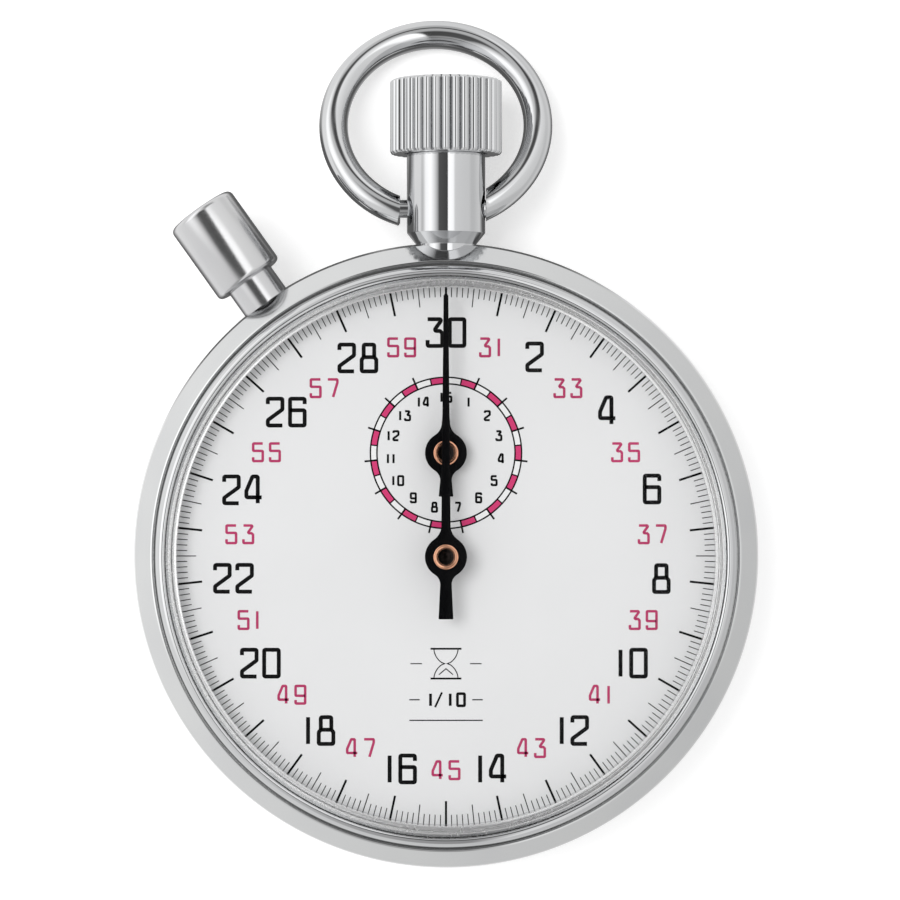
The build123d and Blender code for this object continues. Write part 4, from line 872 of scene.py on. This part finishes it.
# ================================================================ side button
ALONG_BUTTON = placed_on((0, 0, AXIS_Z), BUTTON_DIRECTION)
tube_outline = rounded(
    [
        (BUTTON_TUBE_BORE_R, BUTTON_TUBE_START),
        (BUTTON_TUBE_R, BUTTON_TUBE_START),
        (BUTTON_TUBE_R, BUTTON_TUBE_END, 0.15),
        (BUTTON_TUBE_BORE_R, BUTTON_TUBE_END, 0.1),
    ]
)
piece_from(
    "button_sleeve", *lathe(tube_outline, ALONG_BUTTON, 128), "case", "button_satin", SATIN, ["pusher_tube"]
)
button_outline = rounded(
    [
        (0, BUTTON_ROD_END),
        (BUTTON_ROD_R, BUTTON_ROD_END, 0.15),
        (BUTTON_ROD_R, BUTTON_COLLAR_NEAR),
        (BUTTON_COLLAR_R, BUTTON_COLLAR_NEAR, 0.1),
        (BUTTON_COLLAR_R, BUTTON_COLLAR_FAR, 0.1),
        (BUTTON_ROD_R, BUTTON_COLLAR_FAR),
        (BUTTON_ROD_R, BUTTON_FAR - BUTTON_ROOF),
        (BUTTON_TUBE_R + BUTTON_GAP, BUTTON_FAR - BUTTON_ROOF),
        (BUTTON_TUBE_R + BUTTON_GAP, BUTTON_NEAR, 0.12),
        (BUTTON_R, BUTTON_NEAR, 0.6),
        (BUTTON_R, BUTTON_FAR - 0.12, 0.5),
        (1.6, BUTTON_FAR - 0.03, 1.0),
        (0, BUTTON_FAR),
    ],
    closed=False,
)
piece_from(
    "button_cap",
    *lathe(button_outline, ALONG_BUTTON, 160, closed=False),
    "pusher",
    "button_satin",
    SATIN,
    ["pusher"],
)

# ================================================================ dial and its print
dial_outline = rounded(
    [
        (DIAL_HOLE_R, DIAL_TOP - DIAL_T),
        (DIAL_R, DIAL_TOP - DIAL_T),
        (DIAL_R, DIAL_TOP, 0.04),
        (DIAL_HOLE_R, DIAL_TOP, 0.05),
    ],
    steps=3,
)
piece_from("dial_disc", *lathe(dial_outline, steps=240), "case", "dial_enamel", DIAL_WHITE, ["dial"])

# The strokes of each digit in a cell one wide and one high, each with whether it closes on itself.
DIGITS = {
    "0": [([(0, 0), (0, 1), (1, 1), (1, 0)], True)],
    "1": [([(0.5, 0), (0.5, 1)], False)],
    "2": [([(0, 0.8), (0, 1), (1, 1), (1, 0.6), (0, 0.2), (0, 0), (1, 0)], False)],
    "3": [([(0, 1), (1, 1), (0.42, 0.56), (0.85, 0.56), (1, 0.48), (1, 0), (0, 0), (0, 0.22)], False)],
    "4": [([(0.78, 0), (0.78, 1), (0.42, 1), (0, 0.46), (0, 0.22), (1.05, 0.22)], False)],
    "5": [([(1, 1), (0, 1), (0, 0.58), (1, 0.58), (1, 0), (0, 0), (0, 0.22)], False)],
    "6": [([(1, 0.8), (1, 1), (0, 1), (0, 0), (1, 0), (1, 0.57), (0, 0.57)], False)],
    "7": [([(0, 1), (1, 1), (1, 0.82), (0.55, 0)], False)],
    "8": [
        ([(0.14, 0.53), (0.14, 1), (0.86, 1), (0.86, 0.53)], False),
        ([(0, 0), (0, 0.44), (0.14, 0.53), (0.86, 0.53), (1, 0.44), (1, 0)], True),
    ],
    "9": [([(1, 0.44), (0, 0.44), (0, 1), (1, 1), (1, 0), (0, 0), (0, 0.2)], False)],
}


ONE_ADVANCE = 0.62
CORNER_PER_PEN = 0.35


def number_strokes(text, centre, height, width, pen, gap):
    """Strokes of an upright number that is centred on a point, with small round corners."""
    advances = [(width + gap) * (ONE_ADVANCE if digit == "1" else 1) for digit in text]
    left = centre[0] - (sum(advances) - gap) / 2 + pen / 2
    foot = centre[1] - height / 2 + pen / 2
    strokes = []
    for digit, advance in zip(text, advances):
        cell = advance - gap - pen
        for path, closed in DIGITS[digit]:
            corners = [(left + x * cell, foot + y * (height - pen), pen * CORNER_PER_PEN) for x, y in path]
            points = [tuple(point) for point in rounded(corners, closed=closed, steps=3)]
            strokes.append(stroke(points, pen, closed))
        left += advance
    return strokes


def printed(name, strokes, ink, lift=0.0):
    """One printed mark on the dial, from its strokes."""
    low, high = DIAL_TOP - PRINT_BURIED, DIAL_TOP + PRINT_T + lift
    piece_from(name, *prism(strokes, low, high), "case", "dial_enamel", ink)


# The inner end and the pen of each kind of mark, and the height, width, pen and gap of each kind of number.
TICK_OUTER = 23.44
SECOND_TICK, HALF_TICK, TENTH_TICK = (21.40, 0.19), (21.82, 0.085), (22.60, 0.075)
LARGE_NUMBER = (2.68, 1.62, 0.345, 0.32)
SMALL_NUMBER = (1.76, 1.06, 0.225, 0.42)
COUNTER_NUMBER = (0.97, 0.62, 0.19, 0.17)


def tick(kind, time):
    """The stroke of one mark of the outer scale."""
    inner, pen = kind
    return stroke([dial_point(inner, time), dial_point(TICK_OUTER, time)], pen)


tenths = range(DIAL_SECONDS * 10)
printed("second_marks", [tick(SECOND_TICK, i / 10) for i in tenths if i % 10 == 0], INK_BLACK)
printed("half_second_marks", [tick(HALF_TICK, i / 10) for i in tenths if i % 10 == 5], INK_GREY)
printed("tenth_marks", [tick(TENTH_TICK, i / 10) for i in tenths if i % 5], INK_GREY)

# Wide numbers stand a little further in at the sides, and the top number a little further out.
LARGE_REACH, TOP_REACH, ONE_DIGIT_INSET, TWO_DIGIT_INSET = 19.1, 19.5, 0.2, 0.45
black_numbers = []
for number in range(2, 31, 2):
    sideways = abs(math.sin(math.tau * number / DIAL_SECONDS))
    inset = ONE_DIGIT_INSET if number < 10 else TWO_DIGIT_INSET
    reach = TOP_REACH if number == DIAL_SECONDS else LARGE_REACH - inset * sideways
    black_numbers += number_strokes(str(number), dial_point(reach, number), *LARGE_NUMBER)
printed("even_numbers", black_numbers, INK_BLACK)

SMALL_REACH, SMALL_OUTSET, SMALL_OUTSET_START = 18.1, 0.6, 0.85
pink_numbers = []
for number in range(31, 60, 2):
    upright = abs(math.cos(math.tau * number / DIAL_SECONDS))
    outset = max(0.0, upright - SMALL_OUTSET_START) / (1 - SMALL_OUTSET_START)
    reach = SMALL_REACH + SMALL_OUTSET * outset
    pink_numbers += number_strokes(str(number), dial_point(reach, number), *SMALL_NUMBER)
printed("odd_numbers", pink_numbers, INK_PINK)

# minute counter
COUNTER = Vector((MINUTE_AXIS.x, MINUTE_AXIS.y))
RING_OUT, RING_IN, RING_PEN = 6.6, 6.03, 0.13
MINUTE_MARK_REACH, MINUTE_MARK_PEN, HALF_MARK_PEN = 7.15, 0.16, 0.12
COUNTER_NUMBER_REACH = 4.85
COUNTER_MINUTES = 15


def counter_angle(minutes):
    """Angle from +X of a time on the counter, in degrees."""
    return 90 - 360 * minutes / COUNTER_MINUTES


def counter_point(reach, minutes):
    """A point on the counter at a distance from its centre, at a time of its scale."""
    angle = math.radians(counter_angle(minutes))
    return COUNTER + Vector((math.cos(angle), math.sin(angle))) * reach


def ring_segment(start, end):
    """A filled piece of the counter's ring between two times."""
    middle = (RING_OUT + RING_IN) / 2
    arc = arc_points(COUNTER, middle, counter_angle(start), counter_angle(end), 8)
    return stroke(arc, RING_OUT - RING_IN)


printed(
    "counter_white_blocks",
    [ring_segment(minute, minute + 0.5) for minute in range(COUNTER_MINUTES)],
    COUNTER_WHITE,
)
printed(
    "counter_pink_blocks",
    [ring_segment(minute + 0.5, minute + 1) for minute in range(COUNTER_MINUTES)],
    INK_BRIGHT_PINK,
)
outlines = [
    stroke(arc_points(COUNTER, radius, 0, 357, 119), RING_PEN, closed=True) for radius in (RING_IN, RING_OUT)
]
for half in range(2 * COUNTER_MINUTES):
    outer, pen = (RING_OUT, HALF_MARK_PEN) if half % 2 else (MINUTE_MARK_REACH, MINUTE_MARK_PEN)
    outlines.append(stroke([counter_point(RING_IN, half / 2), counter_point(outer, half / 2)], pen))
printed("counter_outline", outlines, INK_BLACK, lift=0.004)

counter_numbers = []
for minute in range(1, COUNTER_MINUTES + 1):
    place = counter_point(COUNTER_NUMBER_REACH, minute)
    counter_numbers += number_strokes(str(minute), place, *COUNTER_NUMBER)
printed("counter_numbers", counter_numbers, INK_BLACK)

# A plain hourglass between two rules.
MARK_PEN, PLATE_PEN, PLATE_HALF = 0.085, 0.16, 1.35
GLASS_TOP, GLASS_FOOT, GLASS_HALF, GLASS_WAIST_HALF, GLASS_FULLNESS = -8.1, -10.7, 1.05, 0.12, 0.6
GLASS_WAIST = (GLASS_TOP + GLASS_FOOT) / 2
GLASS_STEPS = 24
SAND_FOOT, SAND_TOP, SAND_HALF = GLASS_FOOT + 0.34, GLASS_FOOT + 0.86, 0.62
ornament = [
    stroke([(-PLATE_HALF, height), (PLATE_HALF, height)], PLATE_PEN) for height in (GLASS_TOP, GLASS_FOOT)
]
for side in (-1, 1):
    curve = []
    for i in range(GLASS_STEPS + 1):
        bulge = abs(math.cos(math.pi * i / GLASS_STEPS)) ** GLASS_FULLNESS
        across = side * (GLASS_WAIST_HALF + (GLASS_HALF - GLASS_WAIST_HALF) * bulge)
        curve.append((across, GLASS_TOP + (GLASS_FOOT - GLASS_TOP) * i / GLASS_STEPS))
    ornament.append(stroke(curve, MARK_PEN))
    ornament.append(stroke([(side * 2.1, GLASS_WAIST), (side * 3.1, GLASS_WAIST)], MARK_PEN))
ornament.append(stroke([(-SAND_HALF, SAND_FOOT), (0, SAND_TOP), (SAND_HALF, SAND_FOOT)], MARK_PEN))
printed("dial_ornament", ornament, INK_BLACK)

# The fraction of a second that the scale divides, between rules and over a longer one.
FRACTION_Y, FRACTION_HEIGHT, FRACTION_PEN, FRACTION_GAP = -12.55, 1.3, 0.24, 0.3
RULE_PEN, RULE_END, LONG_RULE_Y = 0.1, 3.2, -14.35
fraction = number_strokes("1", (-1.35, FRACTION_Y), FRACTION_HEIGHT, 1.0, FRACTION_PEN, FRACTION_GAP)
fraction += number_strokes("10", (0.95, FRACTION_Y), FRACTION_HEIGHT, 0.86, FRACTION_PEN, FRACTION_GAP)
fraction.append(stroke([(-0.95, -13.2), (-0.35, -11.9)], 0.17))
for side in (-1, 1):
    fraction.append(stroke([(side * 2.3, FRACTION_Y), (side * RULE_END, FRACTION_Y)], RULE_PEN))
fraction.append(stroke([(-RULE_END, LONG_RULE_Y), (RULE_END, LONG_RULE_Y)], RULE_PEN))
printed("dial_fraction", fraction, INK_BLACK)

# ================================================================ hands
DIAL_CENTRE = (0, 0)
HAND_HUB_R, HUB_HOLE, HAND_T, HAND_EDGE = 1.82, 0.45, 0.2, 0.035


def fillet_points(hub, neck, radius, sign):
    """The concave corner between a hand's blade and its hub, from the blade to the hub."""
    side = neck / 2 + radius
    height = math.sqrt((hub + radius) ** 2 - side**2)
    hub_angle = math.degrees(math.atan2(height, side))
    corner = arc_points((side, height), radius, 180, 180 + hub_angle, 12)
    return [(x, sign * y) for x, y in corner], hub_angle


def hand_mesh(centre, low, hub, blade, tail):
    """A flat hand with slightly rounded edges and a hole at its hub.

    The blade is its tip's distance, tip width, neck width and fillet; the tail is its end's distance, neck
    width, end width and fillet.
    """
    tip, tip_width, neck, fillet = blade
    end, tail_neck, end_width, tail_fillet = tail
    upper, upper_angle = fillet_points(hub, neck, fillet, 1)
    lower, lower_angle = fillet_points(hub, tail_neck, tail_fillet, -1)
    right = [(tip_width * 0.2, tip), (tip_width / 2, tip - tip_width / 2)]
    right += upper
    right += arc_points((0, 0), hub, upper_angle, -lower_angle, 24)[1:-1]
    right += reversed(lower)
    right += [(end_width / 2, 0.05 - end), (end_width / 2 - 0.05, -end)]
    outline = right + [(-x, y) for x, y in reversed(right)]
    work = bmesh.new()
    rim = [work.verts.new((x, y, 0)) for x, y in outline]
    hole = [work.verts.new((x, y, 0)) for x, y in arc_points((0, 0), HUB_HOLE, 0, 350, 35)]
    edges = [work.edges.new((a, b)) for ring in (rim, hole) for a, b in zip(ring, ring[1:] + ring[:1])]
    bmesh.ops.triangle_fill(work, use_beauty=True, use_dissolve=False, edges=edges)
    grown = bmesh.ops.extrude_face_region(work, geom=work.faces[:])
    lifted = [item for item in grown["geom"] if isinstance(item, bmesh.types.BMVert)]
    bmesh.ops.translate(work, verts=lifted, vec=(0, 0, HAND_T))
    rounded_edges = [
        edge
        for edge in work.edges
        if len(edge.link_faces) == 2
        and all(vert.co.z > HAND_T / 2 for vert in edge.verts)
        and edge.calc_face_angle() > 1
    ]
    bmesh.ops.bevel(work, geom=rounded_edges, offset=HAND_EDGE, segments=2, affect="EDGES", profile=0.5)
    work.verts.index_update()
    vertices = [(v.co.x + centre[0], v.co.y + centre[1], v.co.z + low) for v in work.verts]
    faces = [tuple(v.index for v in face.verts) for face in work.faces]
    work.free()
    return vertices, faces


piece_from(
    "seconds_needle",
    *hand_mesh(
        DIAL_CENTRE,
        SECONDS_LOW[2],
        HAND_HUB_R,
        blade=(SECONDS_HIGH[1], 0.42, 0.80, 1.5),
        tail=(-SECONDS_LOW[1], 1.00, 1.28, 1.0),
    ),
    "seconds",
    "hand_black",
    HAND_BLACK,
    ["seconds_hand"],
)
piece_from(
    "minute_needle",
    *hand_mesh(
        COUNTER,
        MINUTE_LOW[2],
        HAND_HUB_R,
        blade=(MINUTE_HIGH[1] - COUNTER.y, 0.30, 0.72, 1.3),
        tail=(COUNTER.y - MINUTE_LOW[1], 1.00, 1.26, 1.0),
    ),
    "minutes",
    "hand_black",
    HAND_BLACK,
    ["minute_hand"],
)


COLLET_BORE_R, COLLET_TUBE_R, COLLET_FLOOR = 0.25, 0.44, 0.19
PIN_DROP = 0.04


def collet_mesh(centre, low, high):
    """A turned collet: a tube through the hand and a rounded ring round a recess."""
    outline = rounded(
        [
            (COLLET_BORE_R, low),
            (COLLET_TUBE_R, low),
            (COLLET_TUBE_R, high - 0.22),
            (1.10, high - 0.22, 0.08),
            (1.09, high - 0.04, 0.12),
            (0.97, high, 0.10),
            (0.82, high - 0.04, 0.05),
            (0.72, high - 0.17, 0.03),
            (COLLET_BORE_R, high - COLLET_FLOOR),
        ]
    )
    return lathe(outline, Matrix.Translation((centre[0], centre[1], 0)), 96)


def pin_mesh(centre, collet_top):
    """The arbor's end in the collet: a ring step and a domed tip, coloured near-black as painted shade of the
    collet's recess.
    """
    low, high = collet_top - COLLET_FLOOR, collet_top - PIN_DROP
    outline = rounded(
        [
            (0, low),
            (0.71, low),
            (0.71, low + 0.035, 0.02),
            (0.45, low + 0.05, 0.02),
            (0.42, high - 0.05, 0.05),
            (0.16, high, 0.08),
            (0, high),
        ],
        closed=False,
    )
    return lathe(outline, Matrix.Translation((centre[0], centre[1], 0)), 64, closed=False)


piece_from(
    "seconds_pin",
    *pin_mesh(DIAL_CENTRE, SECONDS_COLLET_HIGH[2]),
    "seconds",
    "steel",
    PIN_SHADE_BLACK,
)
piece_from(
    "minute_pin",
    *pin_mesh(COUNTER, MINUTE_COLLET_HIGH[2]),
    "minutes",
    "steel",
    PIN_SHADE_BLACK,
)
piece_from(
    "seconds_collar",
    *collet_mesh(DIAL_CENTRE, SECONDS_COLLET_LOW[2], SECONDS_COLLET_HIGH[2]),
    "seconds",
    "copper",
    COPPER,
    ["seconds_collet"],
)
piece_from(
    "minute_collar",
    *collet_mesh(COUNTER, MINUTE_COLLET_LOW[2], MINUTE_COLLET_HIGH[2]),
    "minutes",
    "copper",
    COPPER,
    ["minute_collet"],
)
